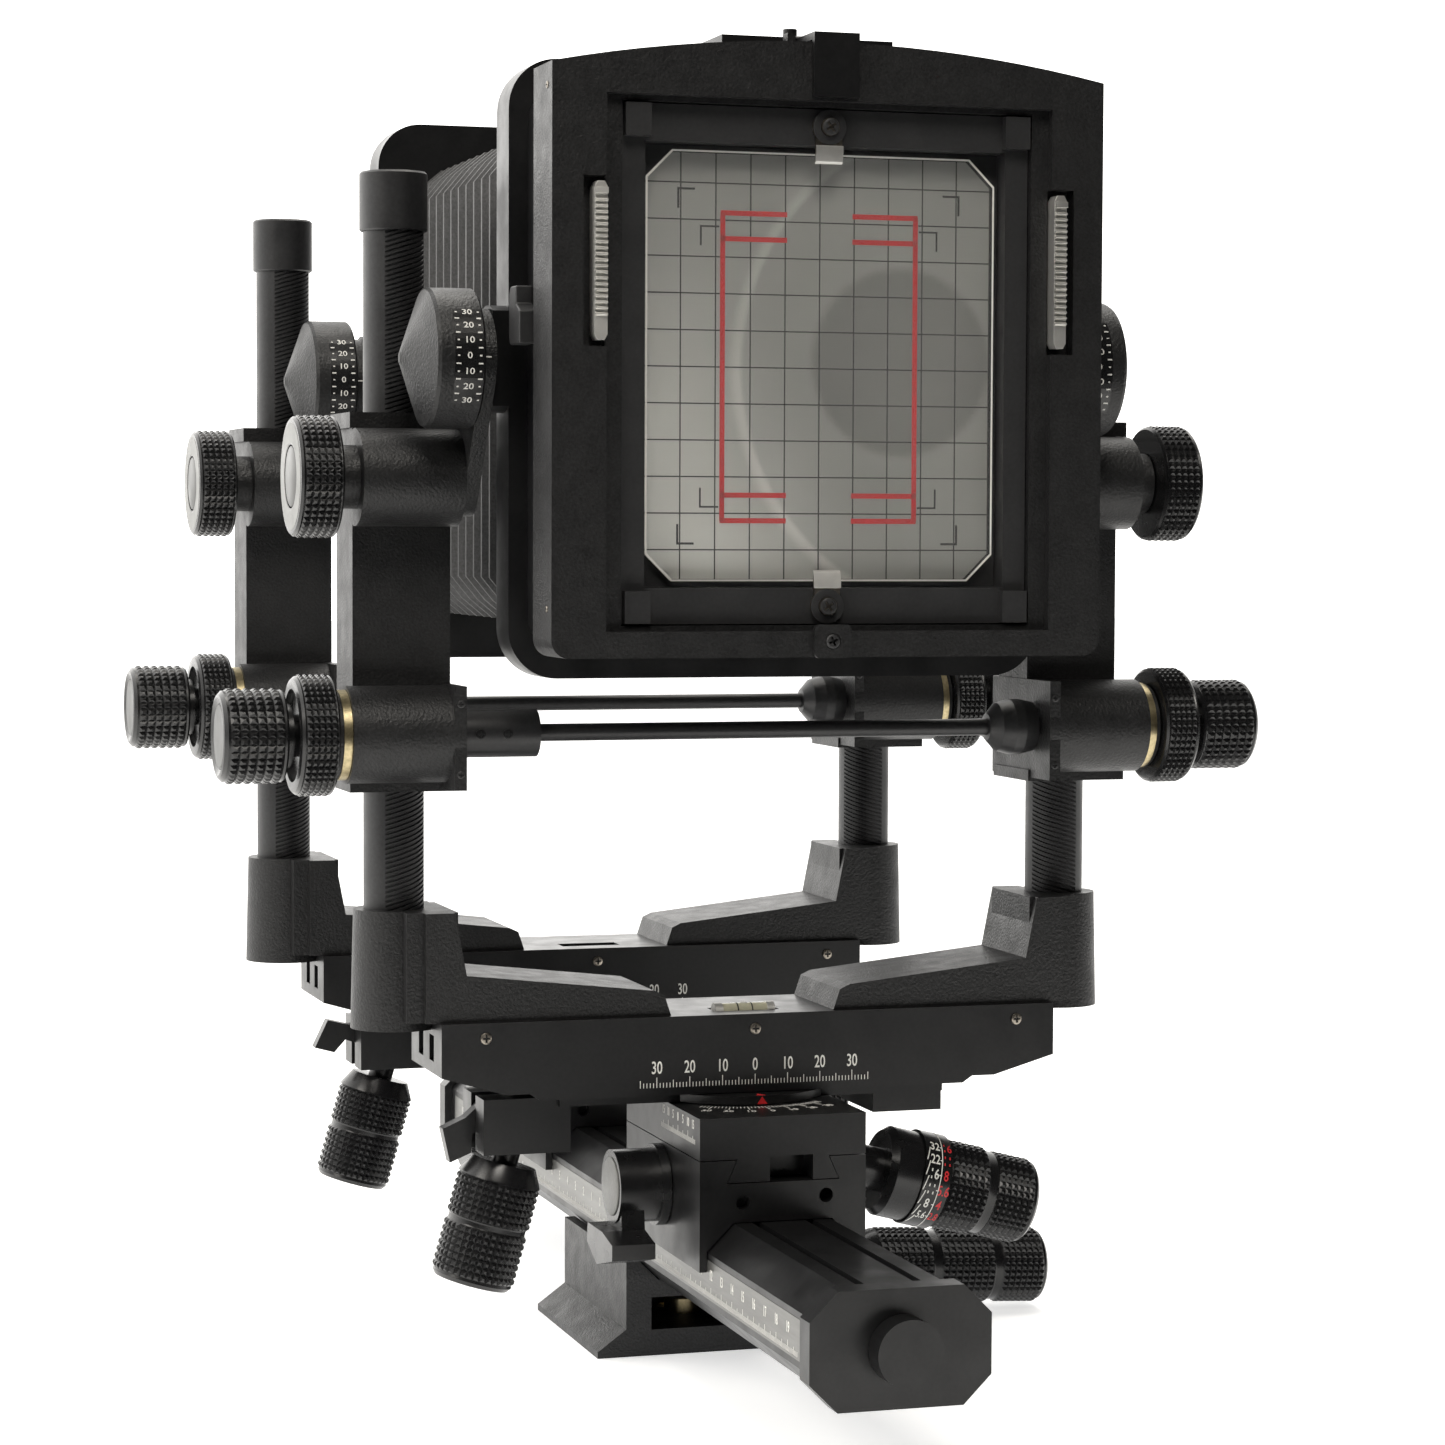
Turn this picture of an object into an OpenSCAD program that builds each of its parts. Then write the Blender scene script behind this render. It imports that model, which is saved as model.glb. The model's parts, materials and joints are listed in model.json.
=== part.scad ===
// Studio view camera on a monorail: two U-shaped standards, each with
// rise, shift, swing, tilt and fine focus, a spring back and a lens.
// +Y runs from the ground glass to the lens, +Z is up, and the origin
// is the mouth of the tripod socket in the flat base of the rail clamp.

/* [Standards] */
// Distance between the two standards along the rail
standard_gap = 176; // [160:1:190]
// Where the rear standard's cross bar stands along the rail
rear_bar_y = -67; // [-75:1:-60]
// Half the distance between a standard's two posts
post_x = 103; // [103:0.5:106]
// Diameter of a rack post
post_dia = 17.5; // [16:0.1:17.6]
// Height of the post tops above the base
post_top = 352; // [346:1:360]
// Height of the optical axis above the base
axis_z = 297; // [296:0.5:298]
// Height of the tilt axis above the base
tilt_z = 300; // [299:0.5:301]

/* [Rail] */
// Length of the rail tube
rail_len = 416; // [400:1:460]
// Half width of the rail
rail_hw = 22.5; // [21:0.1:22.5]
// Half height of the rail
rail_hh = 15.5; // [14:0.1:15.5]
// Height of the rail's centre line
rail_z = 39; // [39:0.1:39.4]

/* [Knobs] */
// Radius of the large knurled knobs
knob_r = 17.3; // [15:0.1:17.3]
// Radius of the small rise knobs
rise_knob_r = 13.5; // [12:0.1:14]
// Length of the large knurled knobs
knob_len = 12; // [10:0.5:12.5]

/* [Back and bellows] */
// Half width of the back frame
back_hw = 79.2; // [78:0.1:80]
// Half size of the bellows across
bellows_half = 72; // [68:0.5:73]
// Number of bellows pleats
pleats = 16; // [8:1:20]

/* [Lens] */
// Radius of the shutter housing
shutter_r = 31; // [28:0.5:33]
// Radius of the front lens ring
front_ring_r = 26; // [24:0.5:28]

/* [Hidden] */
SIDES = [-1, 1];
STANDARDS = [["rear", rear_bar_y], ["front", rear_bar_y + standard_gap]];
STANDARD_PARTS = [
    "carriage", "carriage_lock", "focus_slide", "focus_knob",
    "swing_plate", "swing_lock", "cross_bar", "bar_feet", "posts",
    "shift_knob", "arms", "tilt_drums", "cross_shaft", "rise_knobs",
    "rise_lock_left", "rise_lock_right", "tilt_knob_left",
    "tilt_knob_right", "frame"];
$fn = 64;

fit_gap = 0.05;      // radial clearance of a running fit
slide_gap = 0.3;     // clearance between flat faces that slide
post_r = post_dia / 2;

// Places in a standard, measured from the middle of its cross bar.
post_y = 3;
shaft_y = -15;
tilt_y = -33;
carriage_y = -8.5;
carriage_len = 77;
carriage_hw = 25;
lower_shaft_z = 194;
upper_shaft_z = 267;
arm_bottom = 180.8;
arm_top = 281;
arm_in = 89;         // inner face of a box arm
arm_out = 117.5;     // outer face of a box arm
housing_r = 13.9;
pinion_r = 8.9;
rod_r = 2.5;
pinion_teeth = 24;
rack_pitch = 2 * PI * pinion_r / pinion_teeth;

// Heights of the stack under a cross bar.
carriage_z = [41, 72.7];
slide_z = [73, 85];
plate_z = [85.3, 87.7];
bar_z = [88, 111];
bar_hl = 94;
bar_hd = 20;

frame_y = [-40, -26];
frame_hw = 79.5;
frame_hh = 86.5;
back_y = [-154, -134];
window = [59, 70.6];
rear_tilt_y = rear_bar_y + tilt_y;
front_face_y = rear_bar_y + standard_gap + frame_y[1];
rail_ends = [-205.7, -205.7 + rail_len];
rear_lever_turn = 38;    // the rear swing lever rests this far down

// ---- helpers -------------------------------------------------------------

// Cylinder along X from x0 to x1.
module xcyl(x0, x1, r) {
    translate([min(x0, x1), 0, 0]) rotate([0, 90, 0]) cylinder(h = abs(x1 - x0), r = r);
}

// Cylinder along Y from y0 to y1.
module ycyl(y0, y1, r) {
    translate([0, y1, 0]) rotate([90, 0, 0]) cylinder(h = y1 - y0, r = r);
}

// Box between two corners.
module span(lo, hi) {
    translate(lo) cube(hi - lo);
}

// Outline in X and Z carried along Y from y0 to y1.
module along_y(y0, y1) {
    translate([0, y1, 0]) rotate([90, 0, 0]) linear_extrude(y1 - y0) children();
}

// Rectangle with round corners about the origin.
module round_rect(hx, hz, r) {
    union() {
        square([2 * hx - 2 * r, 2 * hz], center = true);
        square([2 * hx, 2 * hz - 2 * r], center = true);
        for (x = SIDES, z = SIDES) translate([x * (hx - r), z * (hz - r)]) circle(r);
    }
}

// Eight-sided rail outline with cut corners.
module rail_outline(hw, hh, cut) {
    polygon([[-hw, -hh + cut], [-hw + cut, -hh], [hw - cut, -hh], [hw, -hh + cut],
             [hw, hh - cut], [hw - cut, hh], [-hw + cut, hh], [-hw, hh - cut]]);
}

// Draws its children at the right and, mirrored, at the left.
module both_sides() {
    children();
    mirror([1, 0, 0]) children();
}

// Round knob turned about X, from x = 0 outwards, with a dished end.
module knob_x(r, len, groove = true) {
    rotate([0, 90, 0]) rotate_extrude() difference() {
        polygon([[0, 0], [r - 1, 0], [r, 1], [r, len - 1.5], [r - 1.5, len], [0, len]]);
        if (groove) translate([0, len - 0.8]) square([r * 0.68, 1]);
        translate([r - 0.5, 2.2]) square([1, 0.8]);
    }
}

// ---- one standard --------------------------------------------------------

module carriage() {
    y0 = carriage_y - carriage_len / 2;
    color("#1a1a1b") difference() {
        along_y(y0, y0 + carriage_len) difference() {
            polygon([[-carriage_hw, carriage_z[0]], [carriage_hw, carriage_z[0]],
                     [carriage_hw, carriage_z[1]], [-carriage_hw, carriage_z[1]]]);
            translate([0, rail_z])
                rail_outline(rail_hw + slide_gap, rail_hh + slide_gap, 8);
            dovetail(17, 14, 66, carriage_z[1] + 0.1);
        }
        lock_bore();
        focus_axis() xcyl(-6.8, 1, 3 + fit_gap);
        translate([13, y0, 61.5]) ycyl(-1, 6, 2.1);
        translate([-12, y0, 60.5]) ycyl(-1, 4, 2.1);
        span([-16, y0 - 1, 38], [-12, y0 + 3, 52]);
    }
}

// Dovetail outline that is wider at its foot.
module dovetail(foot, head, z0, z1) {
    polygon([[-foot, z0], [foot, z0], [head, z1], [-head, z1]]);
}

lock_z = 60;

module lock_bore() {
    translate([0, carriage_y, lock_z]) xcyl(-26, -13, 3.5 + fit_gap);
}

// Clamp lever with its barrel, at the carriage's left side.
module carriage_lock() {
    color("#151515") translate([0, carriage_y, lock_z]) union() {
        xcyl(-25.3, -13.5, 3.5);
        xcyl(-28, -25.3, 12);
        xcyl(-40.5, -28, 10.8);
        translate([-40, 0, 0]) rotate([90, 0, 90]) linear_extrude(7)
            polygon([[-9, -5], [7, -6], [6, -12], [-10, -12]]);
        translate([-46, 0, 0]) rotate([90, 0, 90]) linear_extrude(13)
            polygon([[-10, -11.4], [6, -11.4], [7, -17], [-4, -22], [-21, -18], [-21, -13.5]]);
    }
}

module focus_slide() {
    y0 = carriage_y - carriage_len / 2;
    color("#1c1c1d") difference() {
        along_y(y0, y0 + carriage_len) union() {
            translate([-carriage_hw, slide_z[0]])
                square([2 * carriage_hw, slide_z[1] - slide_z[0]]);
            dovetail(16.7, 13.7, 66.3, slide_z[0]);
        }
        span([-4, y0 - 1, 66], [9, y0 + 9, 73.5]);
        translate([0, 0, 77]) cylinder(h = 9, r = 8 + fit_gap);
    }
}

// Puts its children on the slanted focus shaft, outwards from the carriage.
module focus_axis() {
    translate([carriage_hw + slide_gap, carriage_y, 65.5]) rotate([0, 14.5, 0]) children();
}

module focus_knob() {
    color("#141414") focus_axis() rotate([0, 90, 0]) rotate_extrude()
        polygon([[0, -6.3], [3, -6.3], [3, 2.4], [6.5, 2.4], [6.5, 17], [12.5, 17], [13.6, 19],
                 [13.6, 27], [9, 27], [9, 36], [13.4, 36], [13.4, 49], [12.6, 50], [12.6, 52],
                 [12.9, 52.8], [12.9, 64.8], [11.5, 66.2], [0, 66.2]]);
}

module dof_ring() {
    color("#202020") focus_axis() difference() {
        xcyl(27.3, 35.7, 14.3);
        xcyl(27, 36, 9 + fit_gap);
    }
}

// Turntable for swing, with the guide that the cross bar slides on.
module swing_plate() {
    color("#181818") difference() {
        union() {
            translate([0, 0, 78]) cylinder(h = 8, r = 8);
            translate([0, 0, plate_z[0]]) cylinder(h = plate_z[1] - plate_z[0], r = 27);
            span([-58, -16, plate_z[0]], [60, 16, plate_z[1]]);
            span([38.5, -15, 79.5], [60, 15, plate_z[0]]);
            span([-80, -13, 71.5], [-54, 13, plate_z[1]]);
            span([-58, -8.7, plate_z[1]], [58, 8.7, 92.6]);
        }
        shift_axis() translate([0, 0, -3]) cylinder(h = 18, r = 4 + fit_gap);
        span([-81, -2.8, 70], [-71, 2.8, 90]);
        swing_lock_axis() ycyl(-8, 8, 2 + fit_gap);
    }
}

// Pivot of the swing lock lever, in a slot at the left of the shift drive.
module swing_lock_axis() {
    translate([-76, 0, 82]) children();
}

// Swing lock lever with a broad bent tip, turned about its pivot.
module swing_lock(turned) {
    color("#1b1b1b") swing_lock_axis() rotate([0, turned, 0]) union() {
        ycyl(-7.5, 7.5, 2);
        ycyl(-2.5, 2.5, 4.2);
        along_y(-2.5, 2.5)
            polygon([[0, 4], [-6, 3.6], [-13.2, 5.4], [-17.6, -3.8], [-11, -5.6], [-7.2, -1.4],
                     [0, -4]]);
    }
}

// Puts its children on the slanted shift shaft, with -Z outwards.
module shift_axis() {
    translate([-70, -1, 71]) rotate([0, 16, 0]) children();
}

module shift_knob() {
    color("#161616") shift_axis() rotate_extrude()
        polygon([[0, -40], [11, -40], [12.4, -38.5], [12.4, -23.4], [11.6, -23], [11.6, -21.4],
                 [12.4, -21], [12.4, -8.5], [9.6, -3.6], [4, -3.6], [4, 9], [0, 9]]);
}

module cross_bar() {
    color("#131314") difference() {
        along_y(-bar_hd, bar_hd)
            polygon([[-bar_hl, 95.5], [-75, 90], [-68, 90], [-65, bar_z[0]], [65, bar_z[0]],
                     [68, 90], [75, 90], [bar_hl, 95.5], [bar_hl, bar_z[1]],
                     [-bar_hl, bar_z[1]]]);
        span([-bar_hl - 1, -9, bar_z[0] - 1], [bar_hl + 1, 9, 93]);
        both_sides() for (y = [-10, 4])
            span([80, y, 99], [bar_hl + 1, y + 6, 106.5]);
        span([-10, -12, 107.5], [10, -4, bar_z[1] + 1]);
    }
}

module bubble_level() {
    color("#c9d6c0") translate([0, -8, 110.2]) xcyl(-9, 9, 2.6);
}

// Foot towers that hold the posts, each with its long tapered wedge.
module bar_feet() {
    color("#232324") both_sides() difference() {
        union() {
            along_y(-17.5, 19.5)
                polygon([[25, bar_z[1]], [27, 117], [30, 118.4], [86, 124.5], [89.5, 142.6],
                         [98, 142.6], [98, bar_z[1]]]);
            translate([post_x, post_y - 1, 108]) cylinder(h = 34.6, r1 = 12.8, r2 = 12);
            translate([88, -15, bar_z[1]]) cube([15, 31, 31.6]);
        }
        span([0, -40, 100], [bar_hl + 0.1, 40, bar_z[1]]);
        translate([post_x, post_y, 111]) cylinder(h = 40, r = post_r + 0.01);
    }
}

// Posts with a rack cut along the side that faces the pinion, and caps.
module posts() {
    color("#2a2a2b") both_sides() translate([post_x, post_y, 0]) {
        difference() {
            translate([0, 0, 111]) cylinder(h = post_top - 111, r = post_r);
            for (i = [0:61]) translate([0, -post_r, 146 + rack_pitch * i])
                cube([11, 2.4, 1], center = true);
        }
        translate([0, 0, 337.7]) difference() {
            cylinder(h = 17, r = 9.8);
            translate([0, 0, -1]) cylinder(h = 1 + post_top - 337.7, r = post_r + 0.01);
        }
    }
}

// Box arms that ride on the posts, with the two round gear housings.
module arms() {
    color("#262627") both_sides() difference() {
        union() {
            span([arm_in, -9, arm_bottom], [arm_out, 14, arm_top]);
            span([arm_in - 0.3, -13, arm_top], [arm_out + 1.5, 15.5, arm_top + 4.4]);
            span([arm_in - 1, -13, arm_bottom - 3.4], [arm_out + 1.5, 15.5, arm_bottom]);
            span([88.6, -28.5, 178.5], [92, 18, 208]);
            translate([0, shaft_y, lower_shaft_z]) {
                xcyl(88.6, 121, housing_r);
                xcyl(121, 124.8, 12.4);
            }
            translate([0, shaft_y, upper_shaft_z]) {
                xcyl(88.7, 118, housing_r);
                xcyl(118, 123.6, 9);
            }
        }
        translate([post_x, post_y, 150]) cylinder(h = 150, r = post_r + fit_gap);
        translate([0, shaft_y, lower_shaft_z]) {
            xcyl(80, 130, rod_r + fit_gap);
            xcyl(96, 110, pinion_r + 0.6);
        }
        translate([0, shaft_y, upper_shaft_z]) xcyl(100, 130, 4 + fit_gap);
    }
}

// Round tilt bearings with their brackets, fixed to the arms.
module tilt_drums() {
    color("#252526") both_sides() difference() {
        union() {
            translate([0, tilt_y, tilt_z]) rotate([0, 90, 0]) rotate_extrude()
                polygon([[0, 88.7], [19, 88.7], [19.6, 89.3], [19.6, 101.2], [19, 102.2],
                         [1.8, 108.9], [0, 108.9]]);
            hull() {
                translate([0, tilt_y, tilt_z]) xcyl(84.4, 88.7, 14);
                translate([0, shaft_y, upper_shaft_z]) xcyl(84.4, 88.7, 11);
            }
        }
        translate([0, tilt_y, tilt_z]) xcyl(80, 101.3, 6 + fit_gap);
    }
}

// Rise shaft with its set-screw sleeve, grip bulb and two pinions.
module cross_shaft() {
    color("#202021") translate([0, shaft_y, lower_shaft_z]) union() {
        xcyl(-149.5, 149.5, rod_r);
        xcyl(-88.3, -65.3, 6.9);
        rotate([0, 90, 0]) rotate_extrude()
            polygon([[0, 73.1], [4, 73.6], [7.2, 76.6], [8.3, 80.6], [8.3, 83.6], [7.4, 87.8],
                     [0, 87.8]]);
        both_sides() translate([post_x, 0, 0]) difference() {
            xcyl(-6, 6, pinion_r);
            for (i = [0:pinion_teeth - 1]) rotate([i * 360 / pinion_teeth, 0, 0])
                translate([0, 0, pinion_r]) cube([13, 1, 1.8], center = true);
        }
    }
}

module rise_knobs() {
    color("#151515") translate([0, shaft_y, lower_shaft_z]) both_sides() difference() {
        union() {
            xcyl(136.9, 139.5, 9);
            translate([139, 0, 0]) knob_x(rise_knob_r, 18.3);
        }
        xcyl(136, 150, rod_r + 0.01);
    }
}

// Knurled lock ring around the rise shaft; side is -1 left or 1 right.
module rise_lock(side) {
    color("#161616") translate([0, shaft_y, lower_shaft_z]) scale([side, 1, 1]) difference() {
        translate([125.2, 0, 0]) knob_x(knob_r, knob_len - 1, false);
        xcyl(120, 145, rod_r + 0.1);
        difference() {
            xcyl(134.2, 145, 13.2);
            xcyl(133, 146, 6);
        }
    }
}

module tilt_knob(side) {
    color("#151515") translate([0, shaft_y, upper_shaft_z]) scale([side, 1, 1]) union() {
        xcyl(101, 124.5, 4);
        translate([124, 0, 0]) knob_x(knob_r, knob_len + 0.3);
    }
}

// Square frame that tilts; the spigot points to the back or to the lens.
module frame(is_rear) {
    spigot = is_rear ? [-67, frame_y[0]] : [frame_y[1], frame_y[1] + 7];
    spigot_hw = 74;
    color("#1f1f20") union() {
        difference() {
            union() {
                translate([0, 0, axis_z]) along_y(frame_y[0], frame_y[1])
                    round_rect(frame_hw, frame_hh, 14);
                translate([0, 0, axis_z]) along_y(spigot[0], spigot[1])
                    round_rect(spigot_hw, 78, 9);
                both_sides() translate([0, tilt_y, tilt_z]) intersection() {
                    xcyl(frame_hw - 2, 84, 15);
                    span([70, frame_y[0] - tilt_y, -15], [90, frame_y[1] - tilt_y, 15]);
                }
            }
            translate([0, 0, axis_z]) along_y(-90, 0) square([124, 130], center = true);
            if (!is_rear) translate([0, 0, axis_z]) along_y(frame_y[1], 0)
                square([141, 141], center = true);
        }
        both_sides() translate([0, tilt_y, tilt_z]) xcyl(83, 101, 6);
    }
}

// ---- base and rail -------------------------------------------------------

clamp_len = 74;
socket_r = 4;
clamp_shaft_z = 18.6;
clamp_slope = 3;

module clamp_block() {
    color("#1d1d1e") difference() {
        along_y(-clamp_len / 2, clamp_len / 2) difference() {
            polygon([[-34, 0], [34, 0], [34, 2], [25, 8.5], [25, 30], [-25, 30], [-25, 8.5],
                     [-34, 2]]);
            translate([0, rail_z])
                rail_outline(rail_hw + slide_gap, rail_hh + slide_gap, 8);
        }
        translate([0, 0, -1]) cylinder(h = 10, r = 8);
        span([-17, -38, 8], [17, -4, 18]);
        clamp_axis() xcyl(-14, 1, 3.5 + fit_gap);
    }
}

// Thread insert pressed into the clamp block, and the screw head behind it.
module socket_bush() {
    color("#b49a55") difference() {
        union() {
            cylinder(h = 8, r = 8);
            translate([0, -12, 8]) cylinder(h = 4.5, r = 5.5);
        }
        translate([0, 0, -1]) cylinder(h = 10, r = socket_r);
    }
}

module clamp_axis() {
    translate([carriage_hw, 0, clamp_shaft_z]) rotate([0, clamp_slope, 0]) children();
}

module clamp_knob() {
    color("#141414") clamp_axis() rotate([0, 90, 0]) rotate_extrude()
        polygon([[0, -13], [3.5, -13], [3.5, 30], [7.5, 34], [11, 40], [12, 42], [12, 60],
                 [11.2, 60.6], [11.2, 62.4], [12, 63], [12, 81], [11.2, 81.6], [11.2, 83.4],
                 [12, 84], [12, 98], [10.5, 99.5], [0, 99.5]]);
}

module rail_tube() {
    color("#1b1b1c") translate([0, 0, rail_z]) along_y(rail_ends[0], rail_ends[1]) difference() {
        rail_outline(rail_hw, rail_hh, 8);
        for (x = [-8, 8]) translate([x - 1.2, rail_hh - 1.5]) square([2.4, 3]);
        translate([-7, -7]) square([14, 14]);
    }
}

module rail_end_caps() {
    color("#202021") translate([0, 0, rail_z])
        for (y = [rail_ends[0] - 8, rail_ends[1]]) difference() {
            along_y(y, y + 8) rail_outline(25.3, 16, 7.8);
            ycyl(y - 1, y + 9, 3 + fit_gap);
        }
}

// Thumb screw in a rail end cap; side is -1 rear or 1 front.
module rail_screw(side) {
    y = side < 0 ? rail_ends[0] - 8 : rail_ends[1] + 8;
    color("#1a1a1a") translate([0, y, rail_z]) scale([1, side, 1]) union() {
        ycyl(slide_gap, 8, 9.2);
        ycyl(-14, 1, 3);
    }
}

// ---- bellows, back and lens ----------------------------------------------

// Pleated light-tight tube: a square sleeve with one rib for each pleat.
module bellows() {
    y0 = rear_bar_y + frame_y[1] + slide_gap;
    y1 = front_face_y - (frame_y[1] - frame_y[0]) - slide_gap;
    step = (y1 - y0) / pleats;
    inner = bellows_half - 8;
    color("#303030") translate([0, 0, axis_z]) difference() {
        union() {
            along_y(y0, y1) square(2 * bellows_half - 10, center = true);
            for (i = [0:pleats - 1])
                along_y(y0 + (i + 0.25) * step, y0 + (i + 0.75) * step)
                    square(2 * bellows_half, center = true);
        }
        along_y(y0 - 1, y1 + 1) square(2 * inner, center = true);
    }
}

// Height above the axis, and place along the rail, of the back catch hinge.
catch_z = 89.4;
catch_y = -139;

// Back casting with an arched top, a bevelled window, two latch slots and
// the two ears of the catch hinge.
module back_frame() {
    arch_r = 394;
    top = 88;
    color("#222223") translate([0, 0, axis_z]) difference() {
        along_y(back_y[0], back_y[1]) intersection() {
            translate([0, 5]) round_rect(back_hw, 84.3, 5);
            translate([0, top - arch_r]) circle(arch_r, $fn = 360);
        }
        along_y(back_y[0] - 1, back_y[1] + 1) square(2 * window, center = true);
        along_y(back_y[0] - 1, back_y[0] + 3) square([128, 2 * window[1] + 3], center = true);
        both_sides() span([63.8, back_y[0] - 1, 4.5], [70.5, back_y[0] + 5, 50]);
    }
    color("#1a1a1a") translate([0, 0, axis_z - 74.9]) difference() {
        along_y(back_y[0] - 1.6, back_y[0]) round_rect(5.3, 4.6, 1.5);
        ycyl(back_y[0] - 2, back_y[0] - 1, 2.2);
    }
    color("#222223") translate([0, catch_y, axis_z]) both_sides() difference() {
        span([6.8, -2, 86], [9.2, 2, catch_z + 2.4]);
        translate([0, 0, catch_z + 0.4]) xcyl(6, 9, 0.8 + fit_gap);
    }
}

// Moving holder of the ground glass, with square corner blocks.
module glass_carrier() {
    color("#1c1c1d") translate([0, 0, axis_z]) union() {
        along_y(-149, -142.3) difference() {
            square([2 * window[0] - 0.8, 2 * window[1] - 0.8], center = true);
            square([104, 120.6], center = true);
        }
        along_y(-142.3, -136.5) difference() {
            square([2 * window[0] - 0.8, 2 * window[1] - 0.8], center = true);
            square([111, 127], center = true);
        }
        for (x = SIDES, z = SIDES)
            span([x * 54.6 - 3.6, -152, z * 65.6 - 4.4], [x * 54.6 + 3.6, -149, z * 65.6 + 4.4]);
    }
}

module ground_glass() {
    color("#8c8c88") translate([0, 0, axis_z]) along_y(-142, -140.2)
        square([110, 126], center = true);
}

// Fresnel screen with cut corners, in front of the ground glass.
module fresnel_screen() {
    color("#c8c8c4") translate([0, 0, axis_z]) along_y(-144.3, -142.3)
        rail_outline(50.5, 58.6, 7.4);
}

clip_z = 65.4;

// Two spring clips with their screws, above and below the screen.
module glass_clips() {
    color("#b8b4a8") translate([0, 0, axis_z]) for (z = SIDES) {
        difference() {
            union() {
                translate([0, 0, z * clip_z]) ycyl(-150.2, -149, 4.6);
                translate([0, 0, z * clip_z]) ycyl(-151.4, -150.2, 2.5);
                span([-3.7, -150.2, min(z * 56.5, z * 62.5)],
                     [3.7, -149, max(z * 56.5, z * 62.5)]);
            }
            span([-2, -151.5, z * clip_z - 0.3], [2, -150.9, z * clip_z + 0.3]);
        }
    }
}

// Serrated latch bar in a slot of the back; side is -1 left or 1 right.
module back_release(side) {
    color("#c9c9cc") translate([0, 0, axis_z]) scale([side, 1, 1]) difference() {
        span([64.2, back_y[0] - 3, 6], [67.8, back_y[0] + 4, 48.5]);
        for (i = [0:11]) translate([66, back_y[0] - 3, 14 + 2.3 * i])
            cube([6, 1.2, 1], center = true);
    }
}

// Spring catch that hooks over the top edge of the back.
module back_catch() {
    color("#121212") translate([0, 0, axis_z]) union() {
        span([-6.5, back_y[0] - 2.3, 73], [6.5, back_y[0] - 0.4, catch_z]);
        span([-6.5, back_y[0] - 2.3, catch_z - 1], [6.5, catch_y, catch_z + 1]);
        translate([0, catch_y, catch_z + 0.4]) {
            xcyl(-6.5, 6.5, 1.5);
            xcyl(-8.6, 8.6, 0.8);
        }
    }
}

// Cold shoe on a low saddle, with its guide lips and a locating pin.
module accessory_shoe() {
    y0 = -131;
    color("#26262a") translate([0, 0, axis_z]) difference() {
        union() {
            span([-22, y0, 78], [22, y0 + 21, 86.5]);
            span([-25, y0, 86.5], [25, y0 + 21, 92]);
            translate([-2, y0 + 10, 88]) cylinder(h = 7.5, r = 2);
        }
        span([-9.3, y0 - 1, 88.4], [9.3, y0 + 7, 90.3]);
        span([-6.5, y0 - 1, 88.4], [6.5, y0 + 7, 93]);
    }
}

board_y = [front_face_y + slide_gap, front_face_y + 6.3];

module lens_board() {
    color("#1b1b1c") translate([0, 0, axis_z]) difference() {
        along_y(board_y[0], board_y[1]) round_rect(70, 70, 4);
        ycyl(board_y[0] - 1, board_y[1] + 1, 20.5);
    }
}

// Shutter housing with the front and rear lens tubes.
module lens_barrel() {
    y = board_y[1];
    color("#181819") translate([0, y, axis_z]) rotate([-90, 0, 0]) rotate_extrude()
        polygon([[15, -5.6], [20.4, -5.6], [20.4, 0], [shutter_r, 0],
                 [shutter_r, 15], [29, 17], [24.4, 17], [24.4, 20], [front_ring_r, 22],
                 [front_ring_r, 34], [22, 34], [20.1, 27], [20.1, 24], [17, 24], [17, -1.5],
                 [15, -1.5]]);
}

// Front and rear lens elements.
module lens_glass() {
    y = board_y[1];
    color("#4a5a78") translate([0, y, axis_z]) rotate([-90, 0, 0]) rotate_extrude() union() {
        polygon([[0, 20], [15, 21], [16.9, 24.05], [20, 24.05], [20, 26.9], [12, 29.3],
                 [0, 30.2]]);
        polygon([[0, -4.6], [13, -3.4], [14.9, -1.4], [16.9, -1.4], [16.9, 2.5], [0, 4.5]]);
    }
}

// ---- build ---------------------------------------------------------------

for (s = STANDARDS) translate([0, s[1], 0]) {
    carriage();
    carriage_lock();
    focus_slide();
    focus_knob();
    swing_plate();
    swing_lock(s[0] == "rear" ? -rear_lever_turn : 0);
    cross_bar();
    bar_feet();
    posts();
    shift_knob();
    arms();
    tilt_drums();
    cross_shaft();
    rise_knobs();
    rise_lock(-1);
    rise_lock(1);
    tilt_knob(-1);
    tilt_knob(1);
    frame(s[0] == "rear");
}
translate([0, rear_bar_y, 0]) dof_ring();  // rear_dof_ring
translate([0, rear_bar_y, 0]) bubble_level();  // rear_bubble_level
clamp_block();
socket_bush();
clamp_knob();
rail_tube();
rail_end_caps();
rail_screw(-1);  // rail_screw_rear
rail_screw(1);  // rail_screw_front
bellows();
back_frame();
glass_carrier();
ground_glass();
fresnel_screen();
glass_clips();
back_release(-1);  // release_left
back_release(1);  // release_right
back_catch();
accessory_shoe();
lens_board();
lens_barrel();
lens_glass();
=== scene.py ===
import json
import math

import bmesh
import bpy
from mathutils import Matrix, Vector


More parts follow.
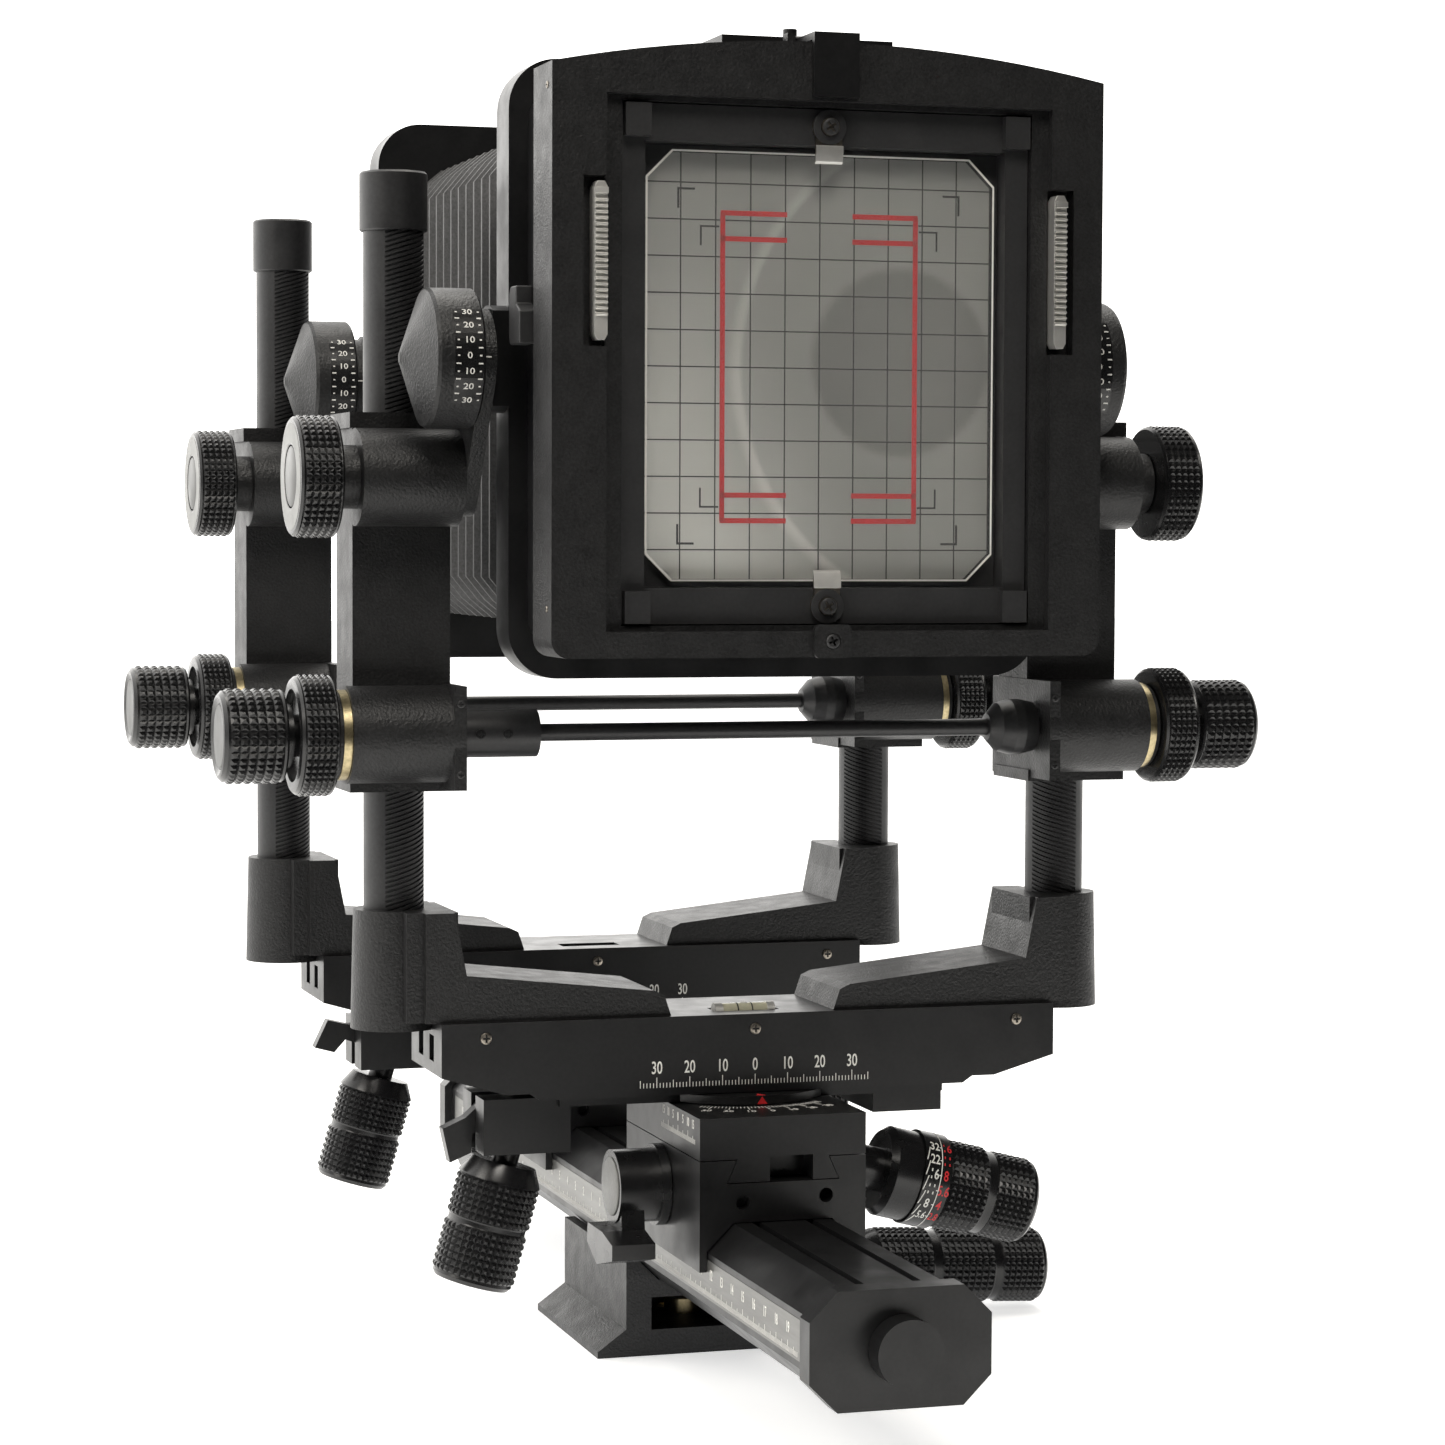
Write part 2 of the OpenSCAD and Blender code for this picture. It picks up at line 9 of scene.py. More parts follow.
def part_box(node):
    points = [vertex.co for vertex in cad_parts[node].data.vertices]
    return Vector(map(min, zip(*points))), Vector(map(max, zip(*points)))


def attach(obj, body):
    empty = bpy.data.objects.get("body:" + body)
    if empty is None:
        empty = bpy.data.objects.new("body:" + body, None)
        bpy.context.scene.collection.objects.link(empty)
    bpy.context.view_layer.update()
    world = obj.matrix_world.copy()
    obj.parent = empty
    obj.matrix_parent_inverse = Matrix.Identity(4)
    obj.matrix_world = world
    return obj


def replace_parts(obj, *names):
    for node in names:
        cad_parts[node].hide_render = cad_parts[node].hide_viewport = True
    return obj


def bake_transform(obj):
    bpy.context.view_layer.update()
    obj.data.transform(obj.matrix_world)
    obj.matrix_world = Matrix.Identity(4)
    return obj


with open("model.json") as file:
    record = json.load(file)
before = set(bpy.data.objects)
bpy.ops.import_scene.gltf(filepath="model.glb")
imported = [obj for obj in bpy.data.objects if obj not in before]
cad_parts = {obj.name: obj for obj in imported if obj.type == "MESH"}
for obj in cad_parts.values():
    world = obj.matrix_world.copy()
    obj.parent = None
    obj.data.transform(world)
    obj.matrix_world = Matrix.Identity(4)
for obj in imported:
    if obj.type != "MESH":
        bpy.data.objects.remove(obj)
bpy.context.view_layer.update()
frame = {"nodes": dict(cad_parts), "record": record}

MM = 0.001
nodes = frame["nodes"]
STANDARDS = (("rear", -67.0), ("front", 109.0))
AXIS_Z = 297.0      # height of the optical axis
TILT_Z = 300.0      # height of the tilt axis
SHAFT_Z = 194.0     # height of the rise shaft
TILT_KNOB_Z = 267.0
LOCK_Z = 60.0       # height of the carriage clamp
SHAFT_BACK = 15.0   # distances behind the middle of a standard
BEARING_BACK = 33.0
FOCUS_BACK = 8.5
FOCUS_X, FOCUS_Z = 25.3, 65.5
DRUM_X, DRUM_R = 93.4, 19.6
KNURL = 0.65        # depth of the knurling

# ---- materials -------------------------------------------------------------


def material(name, color, rough, metal=0.0, spread=0.12, grain=900.0, bump=0.0,
             bump_scale=2200.0, relief=0.0001, rough_spread=0.06, stretch=(1.0, 1.0, 1.0),
             **sockets):
    """Principled surface whose tone, roughness and bump vary over the object's own space."""
    m = bpy.data.materials.new(name)
    m.use_nodes = True
    tree = m.node_tree
    links = tree.links
    shader = tree.nodes["Principled BSDF"]
    place = tree.nodes.new("ShaderNodeTexCoord")
    scaled = tree.nodes.new("ShaderNodeMapping")
    scaled.inputs["Scale"].default_value = stretch
    links.new(place.outputs["Object"], scaled.inputs["Vector"])

    def noise(scale, detail):
        n = tree.nodes.new("ShaderNodeTexNoise")
        n.inputs["Scale"].default_value = scale
        n.inputs["Detail"].default_value = detail
        links.new(scaled.outputs["Vector"], n.inputs["Vector"])
        return n

    tone = noise(grain, 4.0)
    ramp = tree.nodes.new("ShaderNodeValToRGB")
    for stop, factor in zip(ramp.color_ramp.elements, (1 - spread, 1 + spread)):
        stop.color = tuple(min(1.0, c * factor) for c in color) + (1.0,)
    ramp.color_ramp.elements[0].position = 0.3
    ramp.color_ramp.elements[1].position = 0.7
    links.new(tone.outputs["Fac"], ramp.inputs["Fac"])
    links.new(ramp.outputs["Color"], shader.inputs["Base Color"])

    wear = noise(grain * 0.12, 5.0)
    span = tree.nodes.new("ShaderNodeMapRange")
    span.inputs["From Min"].default_value = 0.3
    span.inputs["From Max"].default_value = 0.7
    span.inputs["To Min"].default_value = max(0.0, rough - rough_spread)
    span.inputs["To Max"].default_value = min(1.0, rough + rough_spread)
    links.new(wear.outputs["Fac"], span.inputs["Value"])
    links.new(span.outputs["Result"], shader.inputs["Roughness"])

    if bump > 0:
        height = noise(bump_scale, 2.0)
        bumps = tree.nodes.new("ShaderNodeBump")
        bumps.inputs["Strength"].default_value = bump
        bumps.inputs["Distance"].default_value = relief
        links.new(height.outputs["Fac"], bumps.inputs["Height"])
        links.new(bumps.outputs["Normal"], shader.inputs["Normal"])
    shader.inputs["Metallic"].default_value = metal
    for socket, value in sockets.items():
        shader.inputs[socket.replace("_", " ")].default_value = value
    return m


PAINT = material("textured_paint", (0.013, 0.013, 0.0135), 0.44, spread=0.4, grain=1300,
                 bump=1.0, bump_scale=1250, relief=0.0002, Specular_IOR_Level=0.4)
ANODISED = material("black_anodised", (0.008, 0.008, 0.0085), 0.34, spread=0.2, bump=0.12,
                    bump_scale=5000, Specular_IOR_Level=0.4)
GLOSS = material("gloss_black", (0.008, 0.008, 0.0085), 0.26, spread=0.2, rough_spread=0.03,
                 bump=0.03, bump_scale=4000)
PLASTIC = material("black_plastic", (0.022, 0.022, 0.023), 0.45, bump=0.25, bump_scale=3500)
RUBBER = material("rack_black", (0.016, 0.016, 0.017), 0.42, spread=0.25, bump=0.1)
NICKEL = material("bright_metal", (0.74, 0.73, 0.70), 0.5, metal=1.0, spread=0.05, grain=300,
                  bump=0.03, bump_scale=3000)
STEEL = material("dull_steel", (0.30, 0.27, 0.23), 0.34, metal=1.0, spread=0.2, bump=0.1)
BRASS = material("brass", (0.50, 0.42, 0.25), 0.34, metal=1.0, spread=0.2, bump=0.1)
DISC = material("disc_grey", (0.20, 0.20, 0.192), 0.45, spread=0.1, bump=0.1, bump_scale=4000)
INSET = material("inset_grey", (0.075, 0.075, 0.072), 0.4, spread=0.1, bump=0.1, bump_scale=4000)
VIAL = material("vial", (0.62, 0.60, 0.45), 0.12, spread=0.08, grain=300, Coat_Weight=0.5)
STRIP = material("scale_strip", (0.17, 0.168, 0.16), 0.35, metal=0.6, spread=0.12,
                 stretch=(1.0, 0.1, 1.0), bump=0.1)
WHITE = material("white_paint", (0.78, 0.77, 0.73), 0.5, spread=0.06, bump=0.1)
RED = material("red_paint", (0.62, 0.02, 0.025), 0.45, spread=0.1, bump=0.1)
GRID = material("grid_lines", (0.035, 0.035, 0.035), 0.6, spread=0.1, bump=0.1)
CLOTH = material("bellows_cloth", (0.048, 0.048, 0.049), 0.62, spread=0.3, grain=1200, bump=0.7,
                 bump_scale=2600)
LENS = material("lens_glass", (0.02, 0.025, 0.05), 0.05, spread=0.2, Coat_Weight=0.6)


def shade(mat, centre, direction, reach, factors):
    """Multiplies a colour by a soft step, along a direction or by distance from the centre; used to
    paint light and shade into a colour.
    """
    tree = mat.node_tree
    shader = tree.nodes["Principled BSDF"]
    color = shader.inputs["Base Color"].links[0].from_socket
    place = tree.nodes.new("ShaderNodeTexCoord")
    middle = tree.nodes.new("ShaderNodeMapping")
    middle.inputs["Location"].default_value = (-centre[0], 0.0, -AXIS_Z * MM - centre[2])
    middle.inputs["Scale"].default_value = (1.0, 0.0, 1.0)
    along = tree.nodes.new("ShaderNodeVectorMath")
    along.operation = "DOT_PRODUCT" if direction else "LENGTH"
    if direction:
        along.inputs[1].default_value = Vector(direction).normalized()
    slope = tree.nodes.new("ShaderNodeMapRange")
    slope.interpolation_type = "SMOOTHSTEP"
    slope.inputs["From Min"].default_value, slope.inputs["From Max"].default_value = reach
    slope.inputs["To Min"].default_value, slope.inputs["To Max"].default_value = factors
    blend = tree.nodes.new("ShaderNodeVectorMath")
    blend.operation = "SCALE"
    tree.links.new(place.outputs["Object"], middle.inputs["Vector"])
    tree.links.new(middle.outputs["Vector"], along.inputs[0])
    tree.links.new(along.outputs["Value"], slope.inputs["Value"])
    tree.links.new(color, blend.inputs[0])
    tree.links.new(slope.outputs["Result"], blend.inputs["Scale"])
    tree.links.new(blend.outputs["Vector"], shader.inputs["Base Color"])


def glass_materials():
    """Ground glass with painted light and shade, and the clear grooved screen in front of it."""
    ground = material("ground_glass", (0.30, 0.30, 0.285), 0.6, spread=0.07, grain=22,
                      bump=0.2, bump_scale=9000)
    # painted light: the glass is lighter towards the lower left
    shade(ground, (0.0, 0.0, 0.0), (-0.85, 0.0, -0.5), (0.0, 0.066), (1.0, 2.3))
    # painted shade: a soft dark disc right of the middle
    shade(ground, (0.024, 0.0, 0.002), None, (0.024, 0.028), (0.66, 1.0))
    # painted highlight: a thin bright arc round a point right of the middle; the next step brings
    # the tone back down outside it
    shade(ground, (0.045, 0.0, 0.0), None, (0.0665, 0.0685), (1.0, 1.4))
    shade(ground, (0.045, 0.0, 0.0), None, (0.0685, 0.072), (1.0, 0.71))
    screen = material("clear_plastic", (0.97, 0.97, 0.965), 0.02, spread=0.02, grain=40,
                      rough_spread=0.01)
    tree = screen.node_tree
    shader = tree.nodes["Principled BSDF"]
    shader.inputs["Transmission Weight"].default_value = 0.96
    shader.inputs["IOR"].default_value = 1.12
    place = tree.nodes.new("ShaderNodeTexCoord")
    centre = tree.nodes.new("ShaderNodeMapping")
    centre.inputs["Location"].default_value = (0.0, 0.0, -AXIS_Z * MM)
    centre.inputs["Scale"].default_value = (1.0, 0.0, 1.0)
    rings = tree.nodes.new("ShaderNodeTexWave")
    rings.wave_type = "RINGS"
    rings.rings_direction = "SPHERICAL"
    rings.wave_profile = "SAW"
    rings.inputs["Scale"].default_value = 420.0
    relief = tree.nodes.new("ShaderNodeBump")
    relief.inputs["Strength"].default_value = 0.04
    relief.inputs["Distance"].default_value = 0.0001
    tree.links.new(place.outputs["Object"], centre.inputs["Vector"])
    tree.links.new(centre.outputs["Vector"], rings.inputs["Vector"])
    tree.links.new(rings.outputs["Fac"], relief.inputs["Height"])
    tree.links.new(relief.outputs["Normal"], shader.inputs["Normal"])
    return ground, screen


GROUND, SCREEN = glass_materials()

# ---- mesh helpers, all in millimetres in the part frame ----------------------


def piece(name, verts, faces, mat, body, slot, sharp=32, bevel=0.0):
    """A mesh piece in millimetres that rides on a body."""
    mesh = bpy.data.meshes.new(name)
    mesh.from_pydata([tuple(c * MM for c in v) for v in verts], [], faces)
    bm = bmesh.new()
    bm.from_mesh(mesh)
    bmesh.ops.remove_doubles(bm, verts=bm.verts, dist=0.001 * MM)
    bmesh.ops.recalc_face_normals(bm, faces=bm.faces)
    bm.to_mesh(mesh)
    bm.free()
    mesh.materials.append(mat)
    for polygon in mesh.polygons:
        polygon.use_smooth = True
    mesh.set_sharp_from_angle(angle=math.radians(sharp))
    obj = bpy.data.objects.new(name, mesh)
    bpy.context.scene.collection.objects.link(obj)
    if bevel:
        edge = obj.modifiers.new("edge", "BEVEL")
        edge.width = bevel * MM
        edge.segments = 2
        edge.limit_method = "ANGLE"
        edge.harden_normals = True
    if body:
        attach(obj, body)
    return obj


class Mesh:
    """Collects vertices and faces of several parts into one piece."""

    def __init__(self):
        self.verts, self.faces = [], []

    def add(self, verts, faces, place=None):
        base = len(self.verts)
        self.verts += [tuple(place(v)) if place else tuple(v) for v in verts]
        self.faces += [tuple(base + i for i in f) for f in faces]

    def box(self, lo, hi, place=None):
        (a, b, c), (d, e, f) = lo, hi
        v = [(a, b, c), (d, b, c), (d, e, c), (a, e, c), (a, b, f), (d, b, f), (d, e, f), (a, e, f)]
        self.add(v, [(0, 3, 2, 1), (4, 5, 6, 7), (0, 1, 5, 4), (1, 2, 6, 5), (2, 3, 7, 6),
                     (3, 0, 4, 7)], place)

    def prism(self, outline, w0, w1, place=None):
        """Outline in (u, v) carried along w."""
        n = len(outline)
        v = [(p[0], p[1], w0) for p in outline] + [(p[0], p[1], w1) for p in outline]
        f = [tuple(reversed(range(n))), tuple(range(n, 2 * n))]
        f += [(i, (i + 1) % n, n + (i + 1) % n, n + i) for i in range(n)]
        self.add(v, f, place)

    def make(self, name, mat, body, slot, **more):
        return piece(name, self.verts, self.faces, mat, body, slot, **more)


def axis_place(origin, direction):
    """Maps (t, p, q) to the part frame, with t along the direction."""
    x = Vector(direction).normalized()
    y = (Vector((0, 1, 0)) - x * x.y)
    y = (y if y.length > 0.1 else Vector((0, 0, 1))).normalized()
    z = x.cross(y)
    turn = Matrix((x, y, z)).transposed()
    start = Vector(origin)
    return lambda v: start + turn @ Vector(v)


def turned(mesh, profile, place, count):
    """Adds a turned shape; a profile row is (t, r), or ("knurl", t0, t1, r, columns)."""
    rows, bands = [], []
    for row in profile:
        if row[0] == "knurl":
            _, t0, t1, r, columns = row
            rows.append((t0, r - KNURL))
            bands.append((len(rows) - 1, columns, r))
            for k in range(1, columns + 1):
                rows.append((t0 + (t1 - t0) * k / columns, r - KNURL))
        else:
            rows.append(row)
    skip = {i + k: r for i, columns, r in bands for k in range(columns)}
    verts, faces, ring = [], [], []
    for t, r in rows:
        if r < 1e-6:
            ring.append([len(verts)] * count)
            verts.append((t, 0.0, 0.0))
            continue
        ring.append(list(range(len(verts), len(verts) + count)))
        for j in range(count):
            a = 2 * math.pi * j / count
            verts.append((t, r * math.cos(a), r * math.sin(a)))
    for i in range(len(rows) - 1):
        for j in range(count):
            k = (j + 1) % count
            quad = [ring[i][j], ring[i][k], ring[i + 1][k], ring[i + 1][j]]
            if i not in skip:
                faces.append(tuple(dict.fromkeys(quad)))
                continue
            # a small pyramid with a flat top on each cell
            top, r, (t0, _), (t1, _) = len(verts), skip[i], rows[i], rows[i + 1]
            for ft, fa in ((0.35, 0.35), (0.35, 0.65), (0.65, 0.65), (0.65, 0.35)):
                a = 2 * math.pi * (j + fa) / count
                verts.append((t0 + (t1 - t0) * ft, r * math.cos(a), r * math.sin(a)))
            faces += [(quad[0], quad[1], top + 1, top), (quad[1], quad[2], top + 2, top + 1),
                      (quad[2], quad[3], top + 3, top + 2), (quad[3], quad[0], top, top + 3),
                      (top, top + 1, top + 2, top + 3)]
    mesh.add(verts, [f for f in faces if len(f) > 2], place)


def knurl_knob(name, node, body, profile, place, count):
    """Knurled knob that stands in for its CAD node."""
    mesh = Mesh()
    turned(mesh, profile, place, count)
    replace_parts(mesh.make(name, GLOSS, body, "gloss_black", sharp=20), node)


glyph_cache = {}


def glyph(text):
    """Vertices and faces of a short number, 1 high and centred."""
    if text not in glyph_cache:
        curve = bpy.data.curves.new("glyph", "FONT")
        curve.body, curve.align_x, curve.align_y = text, "CENTER", "CENTER"
        curve.size, curve.extrude, curve.resolution_u = 1.4, 0.01, 3
        curve.offset = 0.012
        obj = bpy.data.objects.new("glyph", curve)
        bpy.context.scene.collection.objects.link(obj)
        shape = obj.evaluated_get(bpy.context.evaluated_depsgraph_get()).to_mesh()
        glyph_cache[text] = ([tuple(v.co) for v in shape.vertices],
                             [tuple(p.vertices) for p in shape.polygons])
        obj.to_mesh_clear()
        bpy.data.objects.remove(obj)
        bpy.data.curves.remove(curve)
    return glyph_cache[text]


def write(mesh, text, height, place, wide=0.85):
    """Adds a number whose local (u, v, w) goes through place; w is 0 to 0.06 mm proud."""
    verts, faces = glyph(text)
    mesh.add([(u * height * wide, v * height, 0.03 + w * 3) for u, v, w in verts], faces, place)


def screw(mesh, place, r=1.6, height=0.7):
    """Cross-head screw: a domed rim with a cross cut into it, facing +w."""
    count, arm, half = 24, r * 0.66, r * 0.17
    cross = [(arm, half), (half, half), (half, arm), (-half, arm), (-half, half), (-arm, half),
             (-arm, -half), (-half, -half), (-half, -arm), (half, -arm), (half, -half),
             (arm, -half)]
    bm = bmesh.new()
    outer = [bm.verts.new((r * 0.8 * math.cos(2 * math.pi * i / count),
                           r * 0.8 * math.sin(2 * math.pi * i / count), height))
             for i in range(count)]
    inner = [bm.verts.new((u, v, height)) for u, v in cross]
    edges = [bm.edges.new((loop[i], loop[(i + 1) % len(loop)])) for loop in (outer, inner)
             for i in range(len(loop))]
    bmesh.ops.triangle_fill(bm, use_beauty=True, edges=edges)
    for f in list(bm.faces):
        c = f.calc_center_median()
        if (abs(c.x) < half and abs(c.y) < arm) or (abs(c.y) < half and abs(c.x) < arm):
            bm.faces.remove(f)
    foot = [bm.verts.new((u, v, -0.2)) for u, v in cross]
    for i in range(len(cross)):
        k = (i + 1) % len(cross)
        bm.faces.new((inner[i], inner[k], foot[k], foot[i]))
    low = [[bm.verts.new((r * math.cos(2 * math.pi * i / count),
                          r * math.sin(2 * math.pi * i / count), h)) for i in range(count)]
           for h in (height * 0.6, -0.2)]
    below = dict(zip(outer + inner, low[1] + foot))
    for f in [f for f in bm.faces if all(v in below for v in f.verts)]:
        bm.faces.new([below[v] for v in reversed(f.verts)])
    for upper, lower in ((outer, low[0]), (low[0], low[1])):
        for i in range(count):
            k = (i + 1) % count
            bm.faces.new((upper[i], upper[k], lower[k], lower[i]))
    bm.verts.index_update()
    mesh.add([tuple(v.co) for v in bm.verts], [tuple(v.index for v in f.verts) for f in bm.faces],
             place)
    bm.free()


def facing(origin, right, up):
    """Maps (u, v, w) to the part frame: u along right, v along up, w outwards."""
    o, a, b = Vector(origin), Vector(right).normalized(), Vector(up).normalized()
    n = a.cross(b)
    return lambda v: o + a * v[0] + b * v[1] + n * v[2]


def wrapped(origin, direction, radius, angle0):
    """Maps (u, v, w) round a cylinder along direction: u along it, v round it, w outwards."""
    place = axis_place(origin, direction)
    return lambda v: place((v[0], (radius + v[2]) * math.cos(angle0 + v[1] / radius),
                            (radius + v[2]) * math.sin(angle0 + v[1] / radius)))


def cut_corners(hx, hz, cut):
    """Outline of a rectangle with its corners cut, anticlockwise."""
    quarter = [(hx, hz - cut), (hx - cut, hz)]
    half = quarter + [(-x, z) for x, z in reversed(quarter)]
    return half + [(-x, -z) for x, z in half]


def flat_band(mesh, outer, inner, low, high, place):
    """Closed flat band between two outlines with the same number of points."""
    n = len(outer)
    verts = [(u, v, w) for w in (low, high) for loop in (outer, inner) for u, v in loop]
    faces = []
    for i in range(n):
        j = (i + 1) % n
        faces += [(n + i, n + j, j, i), (2 * n + i, 2 * n + j, 3 * n + j, 3 * n + i),
                  (i, j, 2 * n + j, 2 * n + i), (n + j, n + i, 3 * n + i, 3 * n + j)]
    mesh.add(verts, faces, place)


# ---- finish of the CAD nodes -------------------------------------------------

FINISH = {"textured_paint": PAINT, "black_anodised": ANODISED, "gloss_black": GLOSS,
          "black_plastic": PLASTIC, "bellows_cloth": CLOTH, "bright_metal": NICKEL,
          "brass": BRASS, "ground_glass": GROUND, "clear_plastic": SCREEN,
          "lens_glass": LENS}
slots = {s["node"]: s["material_slot"] for s in frame["record"]["subparts"]}


def paint(node, mat):
    """Gives every slot of a CAD node one material."""
    for place_slot in node.material_slots:
        place_slot.material = mat


for node_name, node_object in nodes.items():
    paint(node_object, FINISH[slots[node_name]])
    edge = node_object.modifiers.new("edge", "BEVEL")
    edge.width = 0.35 * MM
    edge.segments = 2
    edge.limit_method = "ANGLE"
    edge.angle_limit = math.radians(50)
    edge.harden_normals = True

paint(nodes["rear_bubble_level"], VIAL)
paint(nodes["glass_clips"], STEEL)
for name, _ in STANDARDS:
    for part in ("posts", "cross_shaft"):
        paint(nodes[f"{name}_{part}"], RUBBER)

# ---- knobs -------------------------------------------------------------------

SLOPE = math.radians(14.5)
FOCUS_DIR = (math.cos(SLOPE), 0, -math.sin(SLOPE))
LEAN = math.radians(16)
SHIFT_DIR = (-math.sin(LEAN), 0, -math.cos(LEAN))
CLAMP_TILT = math.radians(3)


def shaft_axis(y, sign):
    """Place on the rise shaft of the standard at y, outwards on one side."""
    return axis_place((0, y - SHAFT_BACK, SHAFT_Z), (sign, 0, 0))


def knob_profile(r, length, columns, hub, start=0.0):
    """Flanged knob from the arm outwards, with a flat face and a recessed middle."""
    end = start + length
    return [(start, r - 1.0), (start + 0.6, r - 0.3),
            ("knurl", start + 1.0, end - 1.3, r, columns),
            (end - 0.8, r - 0.4), (end - 0.1, r - 1.1), (end, r - 1.8), (end, r * hub),
            (end - 1.1, r * hub - 0.1), (end - 1.1, 0)]


for name, y in STANDARDS:
    for side, sign in (("left", -1), ("right", 1)):
        low = shaft_axis(y, sign)
        knurl_knob(f"{name}_rise_lock_{side}_knurled", f"{name}_rise_lock_{side}",
                   f"{name}_rise_lock_{side}_body",
                   [(131, 2.7), (125.2, 2.7), (125.2, 16.2), (125.8, 17.0),
                    ("knurl", 126.2, 134.8, 17.3, 5), (135.2, 16.8), (136.0, 16.1), (136.2, 15.4),
                    (136.2, 13.2), (134.2, 13.2), (134.2, 6.0), (136.2, 6.0), (136.2, 2.7),
                    (131, 2.7)], low, 50)
        high = axis_place((0, y - SHAFT_BACK, TILT_KNOB_Z), (sign, 0, 0))
        knurl_knob(f"{name}_tilt_knob_{side}_knurled", f"{name}_tilt_knob_{side}",
                   f"{name}_tilt_knob_{side}_body",
                   [(101, 0), (101, 4.0), (124, 4.0)] + knob_profile(17.3, 12.3, 5, 0.52, 124),
                   high, 50)
        disc = Mesh()
        turned(disc, [(136.2, 9.2), (136.2, 15.3), (136.42, 15.1), (136.42, 9.4), (136.2, 9.2)],
               high, 64)
        disc.make(f"{name}_tilt_knob_{side}_disc", DISC, f"{name}_tilt_knob_{side}_body",
                  "gloss_black")
        inset = Mesh()
        turned(inset, [(135.2, 0), (135.2, 8.5), (136.2, 8.5), (136.32, 8.3), (136.32, 0)],
               high, 48)
        inset.make(f"{name}_tilt_knob_{side}_inset", INSET, f"{name}_tilt_knob_{side}_body",
                   "gloss_black")
    knobs = Mesh()
    for sign in (-1, 1):
        low = shaft_axis(y, sign)
        turned(knobs, [(149.4, 0), (149.4, 2.55), (136.9, 2.55), (136.9, 9.0), (139.0, 9.0),
                       (139.0, 12.6), (139.6, 13.1), ("knurl", 140.2, 155.4, 13.5, 6),
                       (156.1, 12.9), (157.1, 11.8), (157.3, 11.0), (156.6, 9.4), (156.3, 9.2),
                       (156.3, 0)], low, 40)
    obj = knobs.make(f"{name}_rise_knobs_knurled", GLOSS, f"{name}_rise_drive_body",
                     "gloss_black", sharp=20)
    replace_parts(obj, f"{name}_rise_knobs")
    ends = Mesh()
    for sign in (-1, 1):
        turned(ends, [(156.2, 0), (156.2, 8.9), (156.7, 8.9), (156.85, 8.7), (156.85, 0)],
               shaft_axis(y, sign), 48)
    ends.make(f"{name}_rise_knob_ends", INSET, f"{name}_rise_drive_body", "gloss_black")

    focus = axis_place((FOCUS_X, y - FOCUS_BACK, FOCUS_Z), FOCUS_DIR)
    knurl_knob(f"{name}_focus_knob_knurled", f"{name}_focus_knob", f"{name}_focus_drive_body",
               [(-6.3, 0), (-6.3, 3.0), (2.4, 3.0), (2.4, 6.5), (17.0, 6.5), (17.0, 12.0),
                (17.6, 12.5), (19.0, 13.6), (27.0, 13.6), (27.0, 9.0), (36.0, 9.0), (36.0, 12.8),
                (36.4, 13.1), ("knurl", 36.8, 49.2, 13.4, 6), (49.6, 12.6), (52.0, 12.5),
                ("knurl", 52.4, 64.4, 12.9, 6), (65.2, 12.3), (66.2, 11.2), (65.7, 9.2), (65.5, 0)],
               focus, 40)
    shift = axis_place((-70, y - 1, 71), SHIFT_DIR)
    knurl_knob(f"{name}_shift_knob_knurled", f"{name}_shift_knob", f"{name}_shift_drive_body",
               [(-9, 0), (-9, 4.0), (3.6, 4.0), (3.6, 9.6), (8.5, 12.2), (9.0, 12.3),
                ("knurl", 9.4, 21.4, 12.4, 6), (21.8, 11.6), (23.0, 11.6),
                ("knurl", 23.4, 38.0, 12.4, 7), (38.8, 11.9), (40.0, 11.0), (39.6, 9.0),
                (39.4, 0)], shift, 37)

clamp = axis_place((25, 0, 18.6), (math.cos(CLAMP_TILT), 0, -math.sin(CLAMP_TILT)))
knurl_knob("clamp_knob_knurled", "clamp_knob", "clamp_screw",
           [(-13, 0), (-13, 3.5), (30, 3.5), (34, 7.5), (40, 11.0), (42.0, 11.8),
            ("knurl", 42.6, 60.0, 12.0, 8), (60.4, 11.2), (62.6, 11.2),
            ("knurl", 63.0, 81.0, 12.0, 8), (81.4, 11.2), (83.6, 11.2),
            ("knurl", 84.0, 97.9, 12.0, 7), (98.7, 11.2), (99.5, 10.2), (98.9, 8.4),
            (98.7, 0)], clamp, 36)

# ---- posts -------------------------------------------------------------------

POST_X, POST_Y, POST_R = 103.0, 3.0, 8.75
RACK_PITCH, RACK_DEPTH, RACK_SLANT = 1.4, 0.5, math.tan(math.radians(17))


